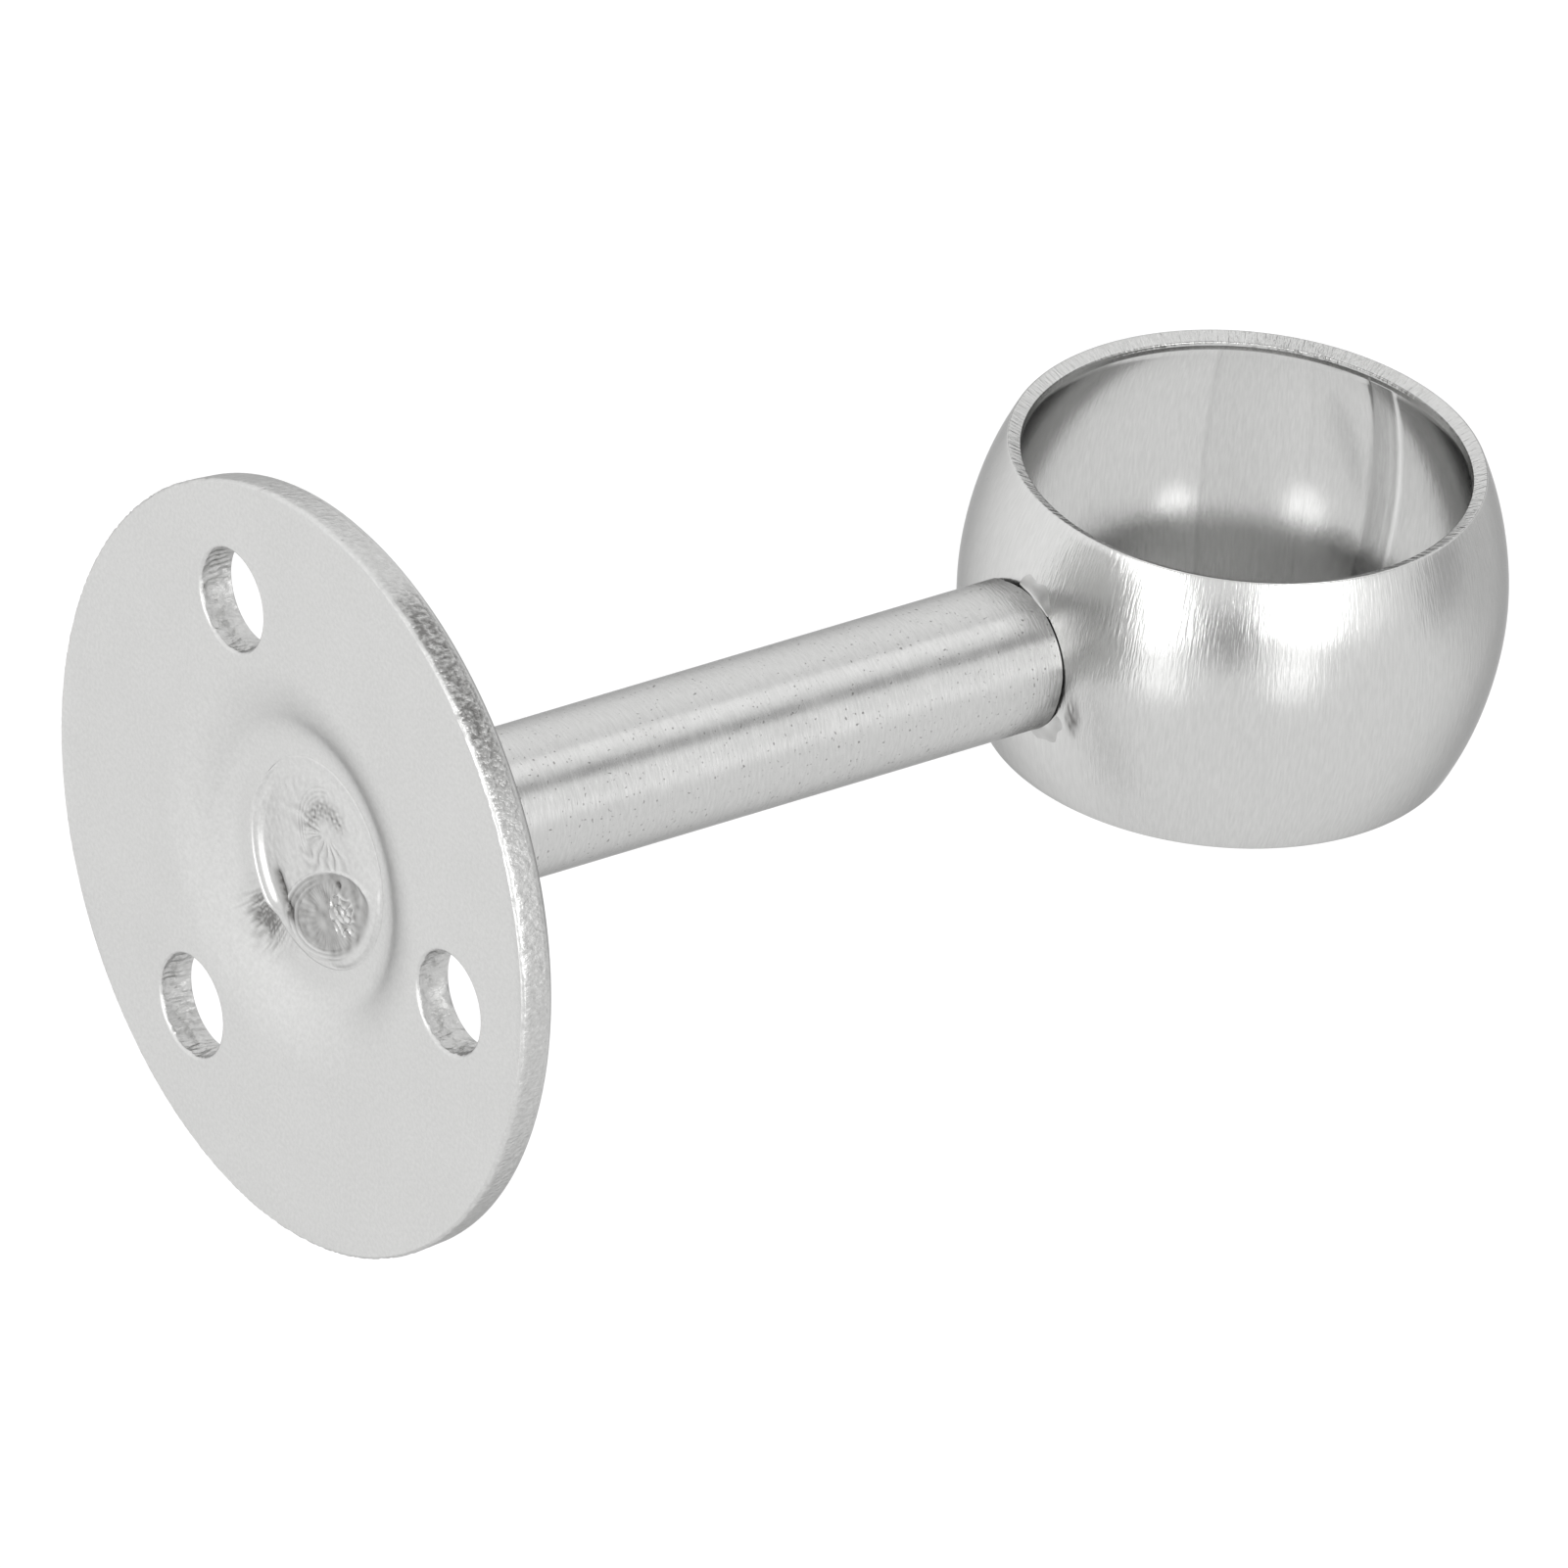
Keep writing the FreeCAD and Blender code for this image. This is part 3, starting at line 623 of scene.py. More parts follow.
# %% The ring
def make_ring():
    """The profile carried round the pole's axis, angles from -Y towards +Z, with the seam raised inside."""
    turn = np.arange(641) * 2 * np.pi / 640
    x, reach = profile[:, :1], profile[:, 1:]
    from_seam = np.abs((turn - SEAM_ANGLE + np.pi) % (2 * np.pi) - np.pi) / SEAM_HALF_WIDTH
    seam = 0.035 * (1 - ease(from_seam, 0.8, 1.0)) + 0.015 * bump(from_seam - 0.9, 0.06)
    circle = np.stack(np.broadcast_arrays(x, RING_RADIUS * np.cos(turn), RING_RADIUS * np.sin(turn)), -1)
    uneven = 0.012 * waves(circle, 12, seed=5) * (1 - ease(np.abs(x), 9, 11))
    reach = reach - inside[:, None] * seam + uneven
    along = np.concatenate([[0], np.cumsum(np.linalg.norm(np.diff(profile, axis=0), axis=1))])
    unrolled = circle.copy()
    unrolled[..., 0] = along[:, None]
    points = np.stack(np.broadcast_arrays(x, POLE_Y - reach * np.cos(turn), reach * np.sin(turn)), -1)
    # the streaks mark also carries the inside's painted shade towards the -X end
    streaks = inside[:, None] * seam_lines_and_painted_shade((np.degrees(turn) + 180) % 360 - 180, x)
    soot = joint_soot(points[..., 0], points[..., 2]) * (1 - inside[:, None]) * (points[..., 1] > POLE_Y)
    sawn = on_face[:, None] * (0.25 + 0.75 * bump((np.degrees(turn) + 180 - SAWN_AT) % 360 - 180, 24))
    closing = np.r_[:len(points), 0]
    return surface(points[closing], wrapped=False, unrolled=unrolled[closing], cut=sawn[closing],
                   inside=inside[closing, None], streaks=streaks[closing], burnt=soot[closing])


ring = make_piece("pole_tube_ring", [make_ring()], "pole_ring")

# %% [markdown]
# ## The weld behind the plate
#
# The bar's end was melted into the plate with a torch and a filler rod, in two goes. The first left a smooth
# round lobe. The second ran over its edge and froze from outside inwards, so it has ripples at its border,
# a raised line where it lapped over the first, and a few wrinkled beads where the last metal set.
#
# A weld could be sculpted, but a height map is easier to describe and to repeat: the weld's top is a polar
# grid, and its height is a sum of simple bumps, each set by the distance from something, such as the weld's
# rim, the second puddle's border, or a point.

# %% Places on the weld, from its middle
LIP = 0.14
TERRACE = 0.42
INLAND = 0.25
SECOND_X, SECOND_Z = -3.6, 2.2
SECOND_LONG, SECOND_SHORT = 6.5, 3.5
SECOND_TURN = math.radians(52)
FAN_X, FAN_Z = 3.1, 0.9
BEADS_X, BEADS_Z = -2.5, 3.8
PIT_START, PIT_END = (-3.8, -4.6), (-5.7, -3.0)
LAP_X, LAP_Z = -0.35, 2.8
RIPPLE = 0.38


def from_pit(x, z):
    """Distance from the line of the dark groove, where the two puddles and the sheet meet."""
    (ax, az), (bx, bz) = PIT_START, PIT_END
    share = ((x - ax) * (bx - ax) + (z - az) * (bz - az)) / ((bx - ax) ** 2 + (bz - az) ** 2)
    share = np.clip(share, 0, 1)
    return np.hypot(x - ax - share * (bx - ax), z - az - share * (bz - az))


def second_puddle(x, z):
    """Distance inside (below 1) or outside the second puddle's oval border, as a share of its size."""
    a, b = x - SECOND_X, z - SECOND_Z
    along = (a * math.cos(SECOND_TURN) + b * math.sin(SECOND_TURN)) / SECOND_LONG
    across = (b * math.cos(SECOND_TURN) - a * math.sin(SECOND_TURN)) / SECOND_SHORT
    return np.hypot(along, across)


# %% Form of the weld
def weld_form(x, z):
    """The weld's main form.

    Most of it rises gently from the sheet, more steeply on the side towards +Z. On the left, between -152 and
    -58 degrees, the metal wasn't filled to the brim: there a thin lip stands up, then comes a narrow terrace,
    and then a slope down into the puddle. The lip runs on a little way below it. The second puddle is sunk
    into the first.
    """
    to_rim = WELD_RADIUS - np.hypot(x, z)
    turn = np.degrees(np.arctan2(z, x))
    right = ease(turn, 58, 84) * (1 - ease(turn, 140, 165))
    left = ease(turn, -152, -138) * (1 - ease(turn, -92, -58))
    gentle = INLAND * ease(to_rim, -0.3, 3.2)
    gentle += 0.24 * right * (ease(to_rim, 0, 0.55) - ease(to_rim, 1.2, 4.0))
    lip = (TERRACE + LIP) * ease(to_rim, 0, 0.12) - LIP * ease(to_rim, 0.2, 0.42)
    low = TERRACE - 0.06
    sunk = lip - low * ease(to_rim, 0.75, 1.35) + (INLAND - 0.06) * ease(to_rim, 1.6, 4.5)
    above = ease(turn, -92, -70) * (1 - ease(turn, -66, -44))
    height = gentle * (1 - left) + sunk * left
    height += 0.22 * above * (ease(to_rim, 0, 0.1) - ease(to_rim, 0.15, 0.5))
    inland = ease(to_rim, 0.9, 1.7)
    share = second_puddle(x, z)
    height -= inland * 0.1 * (1 - ease(share, 0.84, 1.0)) * (1 - left)
    height -= 0.25 * bump(from_pit(x, z), 0.45)
    return height - 0.14 * bump(np.hypot(x - LAP_X, z - LAP_Z), 0.3)


# %% Relief of the weld
def weld_relief(x, z):
    """The fine relief: the lapped border, frozen ripples, a fan of rays with arcs beyond, and beads."""
    place = np.stack([x, z], -1)
    inland = ease(WELD_RADIUS - np.hypot(x, z), 0.9, 1.7)
    share = second_puddle(x, z)
    relief = inland * 0.09 * bump(share - 1.0, 0.035)
    frozen = ease(share, 0.66, 0.74) * (1 - ease(share, 0.95, 1.0)) * ease(SECOND_Z - z - x + SECOND_X, -2, 2)
    relief += 0.03 * frozen * np.sin(share * 2 * np.pi * SECOND_SHORT / RIPPLE)
    turn = np.arctan2(z - SECOND_Z, x - SECOND_X)
    spokes = np.sin(40 * turn + waves(place, 2.5, seed=30))
    relief += 0.012 * spokes * ease(share, 0.25, 0.4) * (1 - ease(share, 0.7, 0.8))

    a, b = x - FAN_X, z - FAN_Z
    from_fan = np.hypot(a, b)
    turn = np.arctan2(b, a)
    first = inland * ease(share, 1.0, 1.06)
    folds = np.sin(14 * turn + 1.5 * waves(place, 2.2, seed=31)) * ease(-a - 0.3 * b, -0.5, 1.0)
    relief += first * 0.04 * folds * ease(from_fan, 0.5, 1.2) * (1 - ease(from_fan, 3.6, 5.2))
    rays = np.sin(46 * turn + 0.8 * waves(place, 2.0, seed=32)) * bump(np.degrees(turn) + 118, 15)
    relief += first * 0.035 * rays * ease(from_fan, 0.6, 1.0) * (1 - ease(from_fan, 2.8, 3.4))
    arcs = ease(0.3 * a - b, 1.0, 2.5) * ease(from_fan, 2.6, 2.9) * (1 - ease(from_fan, 3.7, 4.1))
    relief += first * 0.02 * arcs * np.sin(from_fan * 2 * np.pi / RIPPLE)

    wrinkles = bump(waves(place, 1.35, seed=37), 0.4)
    relief += 0.2 * wrinkles * (1 - ease(np.hypot(x - BEADS_X, z - BEADS_Z), 1.3, 2.0))
    return relief + 0.006 * inland * waves(place, 0.9, seed=33)


def weld_burn_and_shade(x, z):
    """How dark the weld is, 0 to 1: oxidised hollows and second puddle, soot over the fan, and painted shade
    along the groove and in the dent by the lap.
    """
    place = np.stack([x, z], -1)
    inland = ease(WELD_RADIUS - np.hypot(x, z), 0.8, 1.6)
    second = (0.42 + 0.08 * waves(place, 1.3, seed=43)) * (1 - ease(second_puddle(x, z), 0.93, 1.0)) * inland
    hollows = 0.02 * inland - 4.5 * weld_relief(x, z)
    from_fan = np.hypot(x - FAN_X, z - FAN_Z)
    soot = bump(from_fan - 2.0, 0.8) * ease(x - FAN_X - 0.5 * (z - FAN_Z), -0.5, 1.5)
    soot *= 0.42 + 0.2 * waves(place, 0.45, seed=41)
    # painted shade: the groove by the sheet and the dent by the lap are darkened in colour
    painted_hollow_shade = 0.9 * bump(from_pit(x, z), 0.7) + 0.9 * bump(np.hypot(x - LAP_X, z - LAP_Z), 0.3)
    return np.clip(second + hollows + soot + painted_hollow_shade, 0, 1)


weld_middle = float(weld_form(np.array(0.0), np.array(0.0)))
print("weld's middle stands", round(weld_middle, 2), "mm over the dip's floor")

# %% The weld
def make_weld():
    """The top as a polar grid, a flat underside to the bar's edge, and the plug that fills the bar's hole."""
    angle = np.arange(400) * 2 * np.pi / 400
    radius = WELD_RADIUS * np.linspace(0, 1, 112)[:, None] ** 0.8
    x, z = radius * np.cos(angle), radius * np.sin(angle)
    over_bar = ease(STEM_RADIUS - np.hypot(x + WELD_X, z + WELD_Z), 0.1, 0.6)
    lowest = 0.05 * ease(WELD_RADIUS - radius, 0, 0.1) - 0.7 * over_bar
    height = np.maximum(weld_form(x, z) + weld_relief(x, z), lowest)
    top = on_plate(radius, angle, height - DISH_DEPTH) + (WELD_X, 0, WELD_Z)
    top[-1, :, 1] = -DISH_DEPTH
    edge = on_plate(STEM_RADIUS, angle, -DISH_DEPTH)
    bottom = on_plate(np.array([[STEM_RADIUS], [0.0]]), angle, STEM_START)
    return [surface(top, burnt=weld_burn_and_shade(x, z)), surface(np.stack([top[-1], edge])),
            surface(np.stack([edge, bottom[0]])), surface(bottom)]


weld = make_weld()
plate_weld = make_piece("plate_weld", weld, "base_weld")

# %% [markdown]
# ## The tacks at the ring
#
# Three short tacks hold the ring on the coped end. They were made with hardly any filler, so they are low
# fused patches that bridge the gap and fade into both sides. Each one is a small closed tube that follows the
# joint: its section runs from the bar's side to the ring's side over a shallow hump, and back inside the gap.

# %% Tacks
TACK_ON_RING = 1.3
TACK_ON_BAR = 0.12
TACK_PROUD = 0.04
TACK_HALF_ARC = math.radians(19)
TACK_START = math.radians(14)
TACK_COUNT = 3


def make_tack(number):
    """One tack: sections along the joint whose reach swells from nothing to full size and back.

    A section starts on the bar, drops to the ring in a hollow curve, lies along the ring just proud of it,
    and returns inside the gap.
    """
    share = np.linspace(-1, 1, 61)[:, None]
    angle = TACK_START + number * 2 * np.pi / TACK_COUNT + share * TACK_HALF_ARC
    swell = np.sqrt(1 - share ** 2) * (1 + 0.15 * np.sin(7 * share + number))
    across = np.linspace(0, 1, 17)
    radius = STEM_RADIUS + 0.02 + swell * TACK_ON_RING * across ** 1.5
    proud = swell * (TACK_ON_BAR * (1 - across) ** 4 + TACK_PROUD * np.sqrt(1 - across ** 4))
    under = STEM_RADIUS - 0.4 * swell
    over = on_plate(radius, angle, on_ring(radius * np.cos(angle), radius * np.sin(angle)) + proud)
    inner = on_plate(under, angle, on_ring(under * np.cos(angle), under * np.sin(angle)))
    loop = np.concatenate([over, inner], axis=1)
    return surface(loop, burnt=np.clip(0.2 + 0.08 * waves(loop, 1.4, seed=60 + number), 0, 1))


tack_grids = [make_tack(number) for number in range(TACK_COUNT)]
tacks = make_piece("ring_tacks", tack_grids, "ring_weld")

# %% [markdown]
# ## Materials
#
# Everything is austenitic stainless steel, the common 304 grade. What differs is how each surface was made:
# the sheet is as it came from the mill and was tumbled, the bar was brushed round its girth on a lathe, the
# tube was brushed along its length on a belt, and the welds are bare. So one base colour serves for all, and
# the finishes differ in roughness, in the direction of their grain, and in their marks.
#
# Two small functions are enough for all the node trees. One turns a hex colour to the linear numbers that
# nodes use. The other adds a node with its settings and its links. A Map Range node's inputs are, in order,
# the number, the two ends that it lies between, and the two ends that they become, at first 0 and 1.

# %% Material helpers
def linear(hex_colour):
    """Linear red, green, blue and alpha of an sRGB hex colour."""
    parts = [int(hex_colour[i:i + 2], 16) / 255 for i in (1, 3, 5)]
    return [c / 12.92 if c <= 0.04045 else ((c + 0.055) / 1.055) ** 2.4 for c in parts] + [1.0]


def add(tree, kind, sockets=(), **settings):
    """Add a node, set its properties, and give its inputs, in order or by name, a value or a link.

    A node that is given in place of a value stands for its first output.
    """
    made = tree.nodes.new(kind)
    for name, value in settings.items():
        setattr(made, name, value)
    for name, value in sockets.items() if isinstance(sockets, dict) else enumerate(sockets):
        if isinstance(value, bpy.types.Node):
            value = value.outputs[0]
        if isinstance(value, bpy.types.NodeSocket):
            tree.links.new(value, made.inputs[name])
        else:
            made.inputs[name].default_value = value
    return made


EDGE_TINT = "#B4B4B4"
MATH = "ShaderNodeMath"
RANGE = "ShaderNodeMapRange"
MIX = "ShaderNodeMix"
BUMP = "ShaderNodeBump"
MARK = "ShaderNodeAttribute"


def start_material(name):
    """A new material with its shader and its output joined. A worn metal brightens less at its edges."""
    material = bpy.data.materials.new(name)
    material.use_nodes = True
    tree = material.node_tree
    tree.nodes.clear()
    shader = add(tree, "ShaderNodeBsdfPrincipled", {"Metallic": 1.0, "Specular Tint": linear(EDGE_TINT)})
    add(tree, "ShaderNodeOutputMaterial", {"Surface": shader.outputs["BSDF"]})
    return material, tree, shader


def patches(tree, place, size, detail=2.0):
    """A random pattern, 0 to 1, whose blotches are as long as size, in millimetres, along each axis."""
    scale = [1 / length for length in size]
    scaled = add(tree, "ShaderNodeVectorMath", (place, scale), operation="MULTIPLY")
    return add(tree, "ShaderNodeTexNoise", {"Vector": scaled, "Scale": 1.0, "Detail": detail})


def dress(tree, shader, shade, colours, dark, **links):
    """Colour a metal between two hex colours by its shade, darken it to the dark steel of heat tint and
    painted shade, and link the rest.
    """
    skin = add(tree, MIX, {0: shade, 6: linear(colours[0]), 7: linear(colours[1])}, data_type="RGBA")
    worn = add(tree, MIX, {0: dark, 6: skin.outputs[2], 7: linear(STEEL_BURNT_AND_SHADE)}, data_type="RGBA")
    tree.links.new(worn.outputs[2], shader.inputs["Base Color"])
    for socket, source in links.items():
        tree.links.new(source.outputs[0], shader.inputs[socket])


STEEL_LIGHT = "#D5D5D4"
STEEL_DARK = "#CBCBCA"
# the dark colour serves heat tint, soot and oxide, and also painted shade on the rim and in the weld's groove
STEEL_BURNT_AND_SHADE = "#4C4A48"
BRUSHED_LIGHT = "#D2D2D1"
BRUSHED_DARK = "#C3C3C2"
DRAWN_LIGHT = "#EDEDEC"
DRAWN_DARK = "#AAAAA9"
print("steel, linear:", [round(c, 3) for c in linear(STEEL_LIGHT)[:3]])

# %% [markdown]
# ## Tumbled sheet
#
# The plate is 304 sheet with the mill's dull skin, tumbled after punching so that its edges don't cut. The
# skin scatters light widely, so the face looks an even pale grey with a fine grain and soft clouds. The cut
# walls of the rim and the holes are torn metal, which breaks the light into coarse glints, and their pits
# are painted darker as a painted shade, most along the rim's torn stretch. The spot beside the weld is
# darkened by heat, and the rim's rolled corner carries a painted shade.

# %% Tumbled sheet
def object_place(tree):
    """The place on a piece in millimetres, from its Object coordinates."""
    place = add(tree, "ShaderNodeTexCoord").outputs["Object"]
    return add(tree, "ShaderNodeVectorMath", {0: place, "Scale": 1 / MM}, operation="SCALE")


def marks_of(tree, *names):
    """The numbers that the mesh keeps for each of its points under these names."""
    return [add(tree, MARK, attribute_name=name).outputs["Fac"] for name in names]


def tumbled_sheet():
    material, tree, shader = start_material("tumbled_304_sheet")
    place = object_place(tree)
    burnt, cut = marks_of(tree, "burnt", "cut")
    clouds = patches(tree, place, (7, 7, 7), detail=4)
    grain = patches(tree, place, (0.3, 0.3, 0.3), detail=3)
    pitted = patches(tree, place, (0.35, 0.6, 0.35), detail=3)
    shade = add(tree, RANGE, (add(tree, MATH, (clouds, 0.2, grain), operation="MULTIPLY_ADD"), 0.42, 0.78))
    in_pits = add(tree, RANGE, (pitted, 0.4, 0.7, 0.75, 0.15))
    most_cut = add(tree, MATH, (cut, cut), operation="MULTIPLY")
    # painted shade: the pits of the cut walls are darkened in colour, more where the cut mark is strong
    painted_pit_shade = add(tree, MATH, (most_cut, in_pits), operation="MULTIPLY")
    # the burnt mark holds the heat tint beside the weld and also the rim's painted shade
    heat_tint_and_painted_shade = add(tree, MATH, (burnt, 0.75), operation="MULTIPLY")
    dark = add(tree, MATH, (heat_tint_and_painted_shade, painted_pit_shade), operation="MAXIMUM")
    dull = add(tree, RANGE, (grain, 0.3, 0.7, 0.36, 0.42))
    rough = add(tree, MATH, (cut, -0.08, dull), operation="MULTIPLY_ADD")
    fine = add(tree, BUMP, {"Height": grain, "Distance": 0.012 * MM})
    torn = add(tree, MATH, (pitted, cut), operation="MULTIPLY")
    normal = add(tree, BUMP, {"Height": torn, "Distance": 0.25 * MM, "Normal": fine})
    dress(tree, shader, shade, (STEEL_DARK, STEEL_LIGHT), dark, Roughness=rough, Normal=normal)
    return material


plate.data.materials.append(tumbled_sheet())
print(plate.data.materials[0].name, "has", len(plate.data.materials[0].node_tree.nodes), "nodes")

# %% [markdown]
# ## Girth-brushed bar
#
# The bar was turned against an abrasive belt, which leaves fine grooves round its girth. Light that meets
# them spreads along the bar, so each reflection is a clean line in one direction and blurred in the other.
# That is anisotropy, and its tangent runs round the bar's axis, turned by a quarter. The grooves are drawn
# about 0.12 mm wide, wider than real grit leaves them, because finer ones wouldn't show in the picture.

# %% Girth-brushed bar
def brushed_bar():
    material, tree, shader = start_material("girth_brushed_304_bar")
    place = object_place(tree)
    grooves = patches(tree, place, (1.0, 0.2, 1.0), detail=2)
    wear = patches(tree, place, (5, 3, 5), detail=3)
    pits = add(tree, RANGE, (patches(tree, place, (0.3, 0.3, 0.3), detail=1), 0.68, 0.76))
    shade = add(tree, RANGE, (grooves, 0.2, 0.8))
    dark = add(tree, MATH, (pits, 0.6), operation="MULTIPLY")
    rough = add(tree, RANGE, (wear, 0.3, 0.7, 0.2, 0.28))
    relief = add(tree, MATH, (pits, -0.25, grooves), operation="MULTIPLY_ADD")
    normal = add(tree, BUMP, {"Height": relief, "Distance": 0.015 * MM})
    around = add(tree, "ShaderNodeTangent", direction_type="RADIAL", axis="Y")
    dress(tree, shader, shade, (BRUSHED_DARK, BRUSHED_LIGHT), dark,
          Roughness=rough, Normal=normal, Tangent=around)
    shader.inputs["Anisotropic"].default_value = 0.6
    shader.inputs["Anisotropic Rotation"].default_value = 0.25
    return material


bar.data.materials.append(brushed_bar())
print(bar.data.materials[0].name, "has", len(bar.data.materials[0].node_tree.nodes), "nodes")

# %% [markdown]
# ## Belt-brushed tube
#
# The ring's outside was brushed along the pole on a coarser belt, by hand, so the strokes are uneven and show
# most beside a highlight. Its inside keeps the tube's duller drawn skin, with only faint lines, and its end
# faces keep the saw's marks, which run across the wall.

# %% Belt-brushed tube
def brushed_tube():
    material, tree, shader = start_material("belt_brushed_304_tube")
    unrolled = add(tree, MARK, attribute_name="unrolled").outputs["Vector"]
    inner, cut, streaks, burnt = marks_of(tree, "inside", "cut", "streaks", "burnt")
    strokes = patches(tree, unrolled, (1.2, 0.18, 0.18), detail=2)
    long_strokes = patches(tree, unrolled, (6.0, 0.3, 0.3), detail=2)
    drawn = patches(tree, unrolled, (1.2, 0.5, 0.5), detail=3)
    sawn = patches(tree, unrolled, (1.5, 0.34, 0.34), detail=3)
    wear = patches(tree, unrolled, (5, 5, 5), detail=3)
    lines = add(tree, RANGE, (strokes, 0.3, 0.7, 0.35, 0.65))
    # the streaks mark holds the seam's lines and the inside's painted shade towards the -X end
    shade = add(tree, RANGE, (add(tree, MATH, (streaks, 1.2, lines), operation="MULTIPLY_ADD"), -0.6, 1.8))
    dark = add(tree, MATH, (burnt, 0.8), operation="MULTIPLY")
    dull = add(tree, RANGE, (wear, 0.3, 0.7, 0.18, 0.24))
    rough = add(tree, MATH, (inner, -0.03, dull), operation="MULTIPLY_ADD")
    elsewhere = add(tree, MATH, (inner, cut), operation="MAXIMUM")
    outer = add(tree, MATH, (1.0, elsewhere), operation="SUBTRACT")
    short = add(tree, MATH, (strokes, 0.6), operation="MULTIPLY")
    both = add(tree, MATH, (long_strokes, 0.4, short), operation="MULTIPLY_ADD")
    normal = None
    for pattern, where, depth in ((both, outer, 0.032), (drawn, inner, 0.006), (sawn, cut, 0.55)):
        height = add(tree, MATH, (pattern, where), operation="MULTIPLY")
        below = {"Normal": normal} if normal else {}
        normal = add(tree, BUMP, {"Height": height, "Distance": depth * MM, **below})
    around = add(tree, "ShaderNodeTangent", direction_type="RADIAL", axis="X")
    dress(tree, shader, shade, (DRAWN_DARK, DRAWN_LIGHT), dark,
          Roughness=rough, Normal=normal, Tangent=around)
    shader.inputs["Anisotropic"].default_value = 0.3
    return material


ring.data.materials.append(brushed_tube())
print(ring.data.materials[0].name, "has", len(ring.data.materials[0].node_tree.nodes), "nodes")

# %% [markdown]
# ## Bare weld metal
#
# Weld metal freezes smooth, so it is shinier than the sheet, and the heat leaves a thin dark oxide in its
# hollows. The mesh carries the oxide, the soot and a painted shade in the groove and the lap's dent as one
# mark, and a fine grain breaks up its edge.

# %% Bare weld metal
def bare_weld():
    material, tree, shader = start_material("bare_308_weld_metal")
    burnt = marks_of(tree, "burnt")[0]
    grain = patches(tree, object_place(tree), (0.35, 0.35, 0.35), detail=3)
    shade = add(tree, RANGE, (grain, 0.35, 0.65))
    flecked = add(tree, RANGE, (grain, 0.3, 0.7, 0.65, 1.0))
    # the burnt mark here carries oxide, soot and the painted shade of the groove and the lap's dent
    oxide_and_painted_shade = add(tree, MATH, (burnt, flecked), operation="MULTIPLY")
    rough = add(tree, RANGE, (grain, 0.3, 0.7, 0.32, 0.42))
    normal = add(tree, BUMP, {"Height": grain, "Distance": 0.006 * MM})
    dress(tree, shader, shade, (STEEL_DARK, STEEL_LIGHT), oxide_and_painted_shade, Roughness=rough, Normal=normal)
    return material


weld_metal = bare_weld()
for piece in (plate_weld, tacks):
    piece.data.materials.append(weld_metal)
print(weld_metal.name, "has", len(weld_metal.node_tree.nodes), "nodes")

# %% [markdown]
# ## The studio
#
# Metal has no colour of its own to show: it shows the room. So the room is where its look is decided. The
# bracket is shot in a white tent over a pale table, which gives the even light greys. Two soft boxes beside
# the camera give the ring its two highlights. A few darker places, such as the gap where the camera looks
# in, give the greys something to be light against, and a few brighter ones lift the metal from below and
# beside. Each is a direction from the bracket, written as angles right of the camera and above it, and then
# come the angles round it where its share of the tent's light is full and where it ends, and that share.

# %% Floor
FLOOR_DROP = 0.25
FLOOR_HALF = 4.0


def make_floor():
    """A large square under the bracket, pale and a little bright of itself, as a lit table in a tent is."""
    mesh = bpy.data.meshes.new("floor")
    z = packed_low[2] - FLOOR_DROP
    corners = [(-FLOOR_HALF, -FLOOR_HALF, z), (FLOOR_HALF, -FLOOR_HALF, z),
               (FLOOR_HALF, FLOOR_HALF, z), (-FLOOR_HALF, FLOOR_HALF, z)]
    mesh.from_pydata(corners, [], [(0, 1, 2, 3)])
    material, tree, shader = start_material("white_table")
    shader.inputs["Metallic"].default_value = 0.0
    shader.inputs["Base Color"].default_value = linear("#D8D8D8")
    shader.inputs["Roughness"].default_value = 0.9
    shader.inputs["Emission Color"].default_value = linear("#FFFFFF")
    shader.inputs["Emission Strength"].default_value = 0.27
    mesh.materials.append(material)
    floor = bpy.data.objects.new("floor", mesh)
    bpy.context.scene.collection.objects.link(floor)
    floor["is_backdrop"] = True
    return floor


print("floor, mm below the bracket:", FLOOR_DROP / MM, make_floor().name)


# %% Tent
def beside_camera(right, above):
    """The direction from the bracket that lies so many degrees right of the camera and above it."""
    azimuth, elevation = math.radians(right), math.radians(above)
    return (RIGHT * math.sin(azimuth) * math.cos(elevation) + UP * math.sin(elevation)
            + BACK * math.cos(azimuth) * math.cos(elevation))


TENT_LIGHT = 0.97
TENT_SPOTS = {
    "gap under the camera": (-4, -31, 3, 13, 0.3),
    "edge of the tent": (62, 27, 2, 11, 0.3),
    "bright top of the tent": (70, 53, 6, 16, 1.35),
    "room on the right": (116, 10, 12, 32, 0.78),
    "light beside the right box": (58, -15, 2, 15, 1.4),
    "light from below on the left": (-41, -39, 2, 12, 1.8),
    "light from below on the right": (32, -42, 2, 11, 2.0),
    "table's end on the right": (98, -3, 3, 17, 0.6),
    "table's end on the left": (-107, -29, 14, 34, 0.5),
}


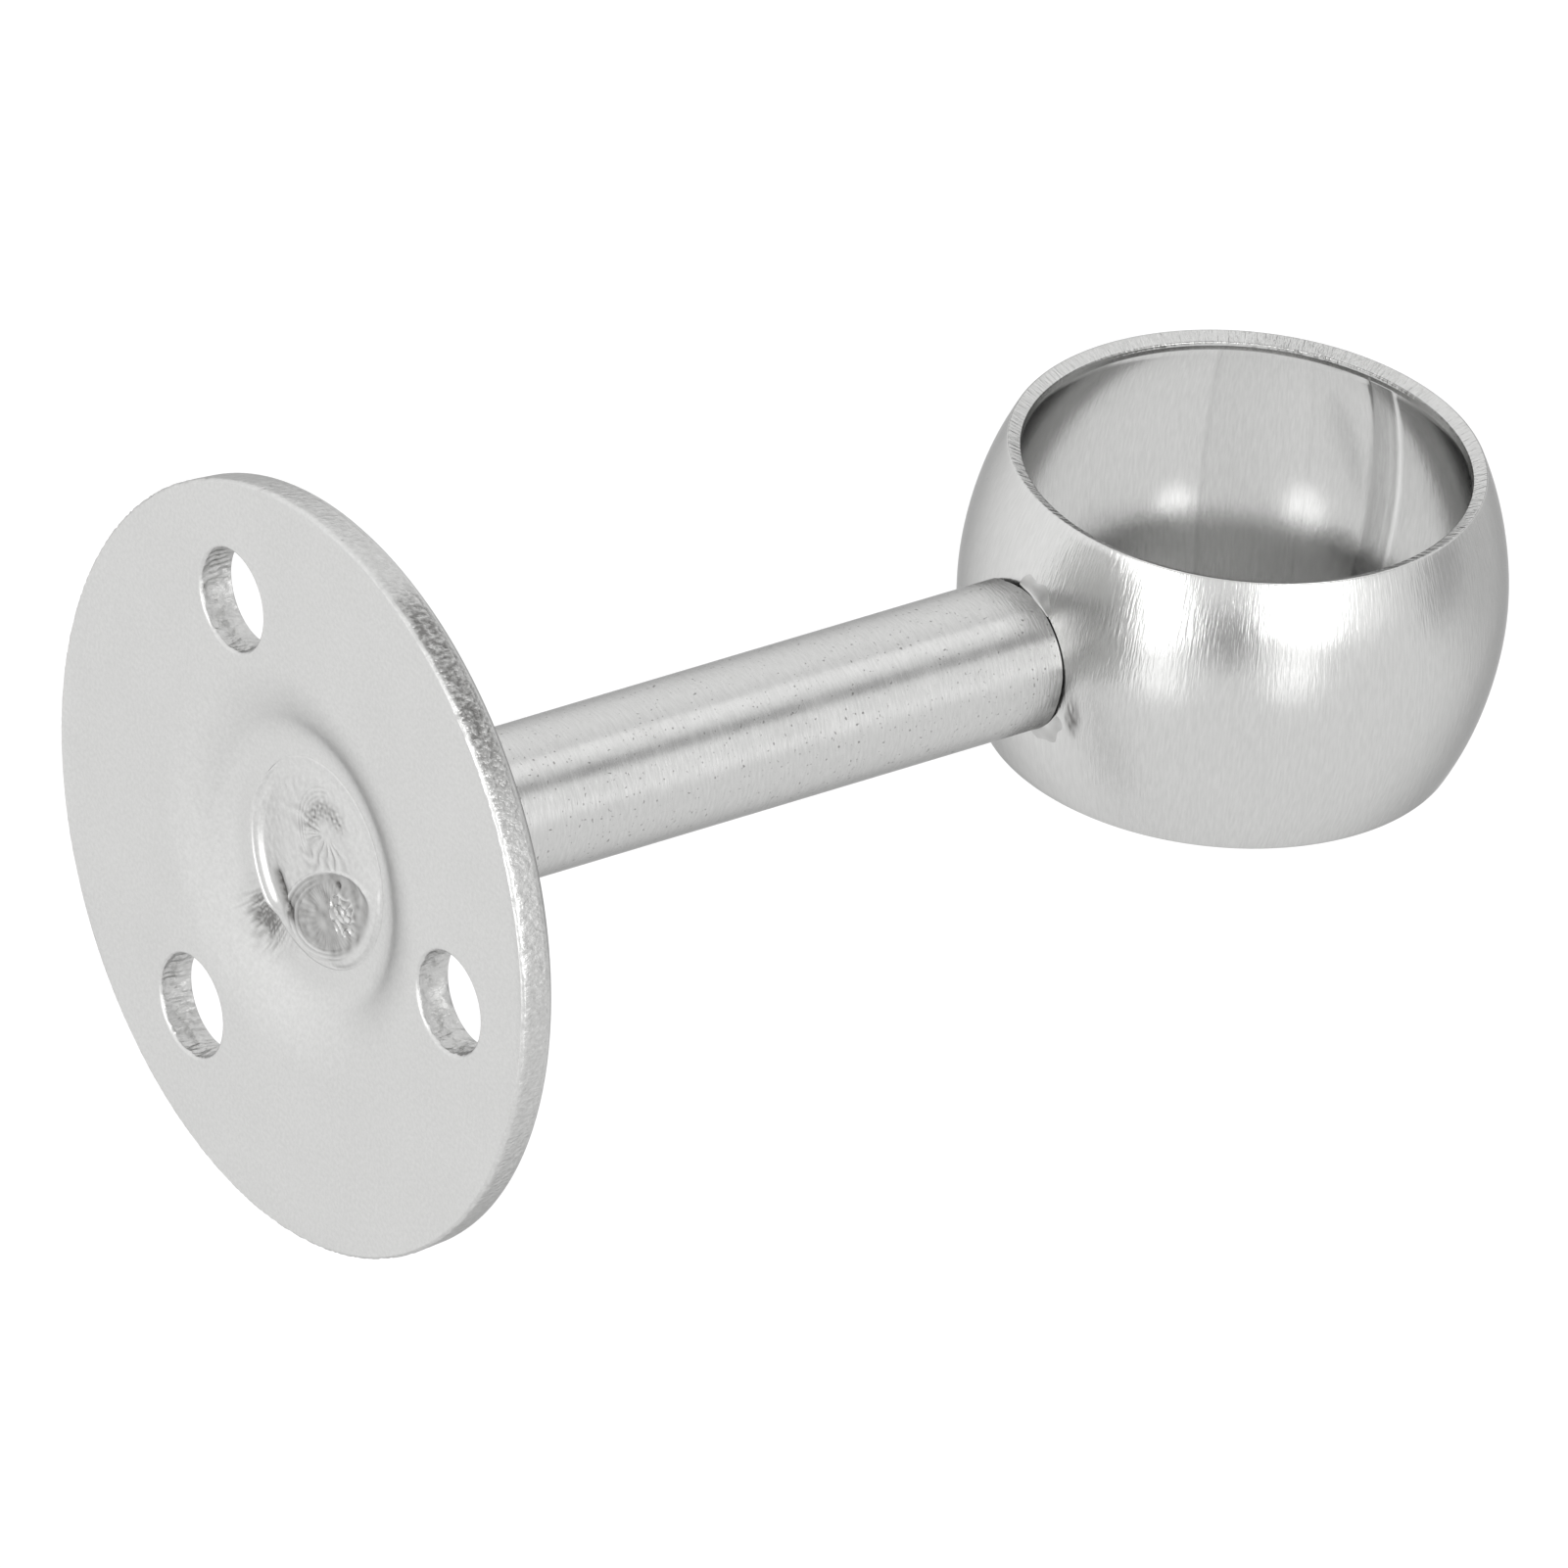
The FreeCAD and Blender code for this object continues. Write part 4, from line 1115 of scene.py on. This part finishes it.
def make_tent():
    """A white surrounding whose light is multiplied in each spot: in full up to its first angle round it."""
    world = bpy.data.worlds.new("tent")
    world.use_nodes = True
    tree = world.node_tree
    tree.nodes.clear()
    toward = add(tree, "ShaderNodeTexCoord").outputs["Generated"]
    light = TENT_LIGHT
    for right, above, full, none, share in TENT_SPOTS.values():
        towards_spot = (toward, beside_camera(right, above))
        near = add(tree, "ShaderNodeVectorMath", towards_spot, operation="DOT_PRODUCT").outputs["Value"]
        ends = (math.cos(math.radians(none)), math.cos(math.radians(full)))
        dim = add(tree, RANGE, (near, *ends, 1.0, share), interpolation_type="SMOOTHSTEP")
        light = add(tree, MATH, (light, dim), operation="MULTIPLY")
    seen = add(tree, "ShaderNodeLightPath").outputs["Is Camera Ray"]
    to_camera = add(tree, MATH, (seen, 1.1), operation="MULTIPLY")
    strength = add(tree, MATH, (light, to_camera), operation="MAXIMUM")
    background = add(tree, "ShaderNodeBackground", {"Color": linear("#FFFFFF"), "Strength": strength})
    add(tree, "ShaderNodeOutputWorld", {"Surface": background})
    bpy.context.scene.world = world
    return world


print("tent has", len(make_tent().node_tree.nodes), "nodes")

# %% Soft boxes
BOX_DISTANCE = 1.0
BOX_LIGHT = 2.6
BOXES = {"left_box": (-34, -9, 22, 41), "right_box": (31, -9, 32, 41)}


def soft_box(name, right, above, wide, high, light):
    """A flat lamp facing the bracket, its size in degrees as seen from there and its light as radiance."""
    direction = beside_camera(right, above)
    width, height = (2 * BOX_DISTANCE * math.tan(math.radians(size / 2)) for size in (wide, high))
    data = bpy.data.lights.new(name, "AREA")
    data.shape = "RECTANGLE"
    data.size, data.size_y = width, height
    data.energy = light * math.pi * width * height
    lamp = bpy.data.objects.new(name, data)
    lamp.visible_camera = False
    side = UP.cross(direction).normalized()
    put(lamp, CAMERA_TARGET + direction * BOX_DISTANCE, side, direction.cross(side), direction)
    return lamp


for name, angles in BOXES.items():
    lamp = soft_box(name, *angles, BOX_LIGHT)
    print(lamp.name, "watts:", round(lamp.data.energy, 2))
bpy.context.scene.view_settings.view_transform = "Standard"
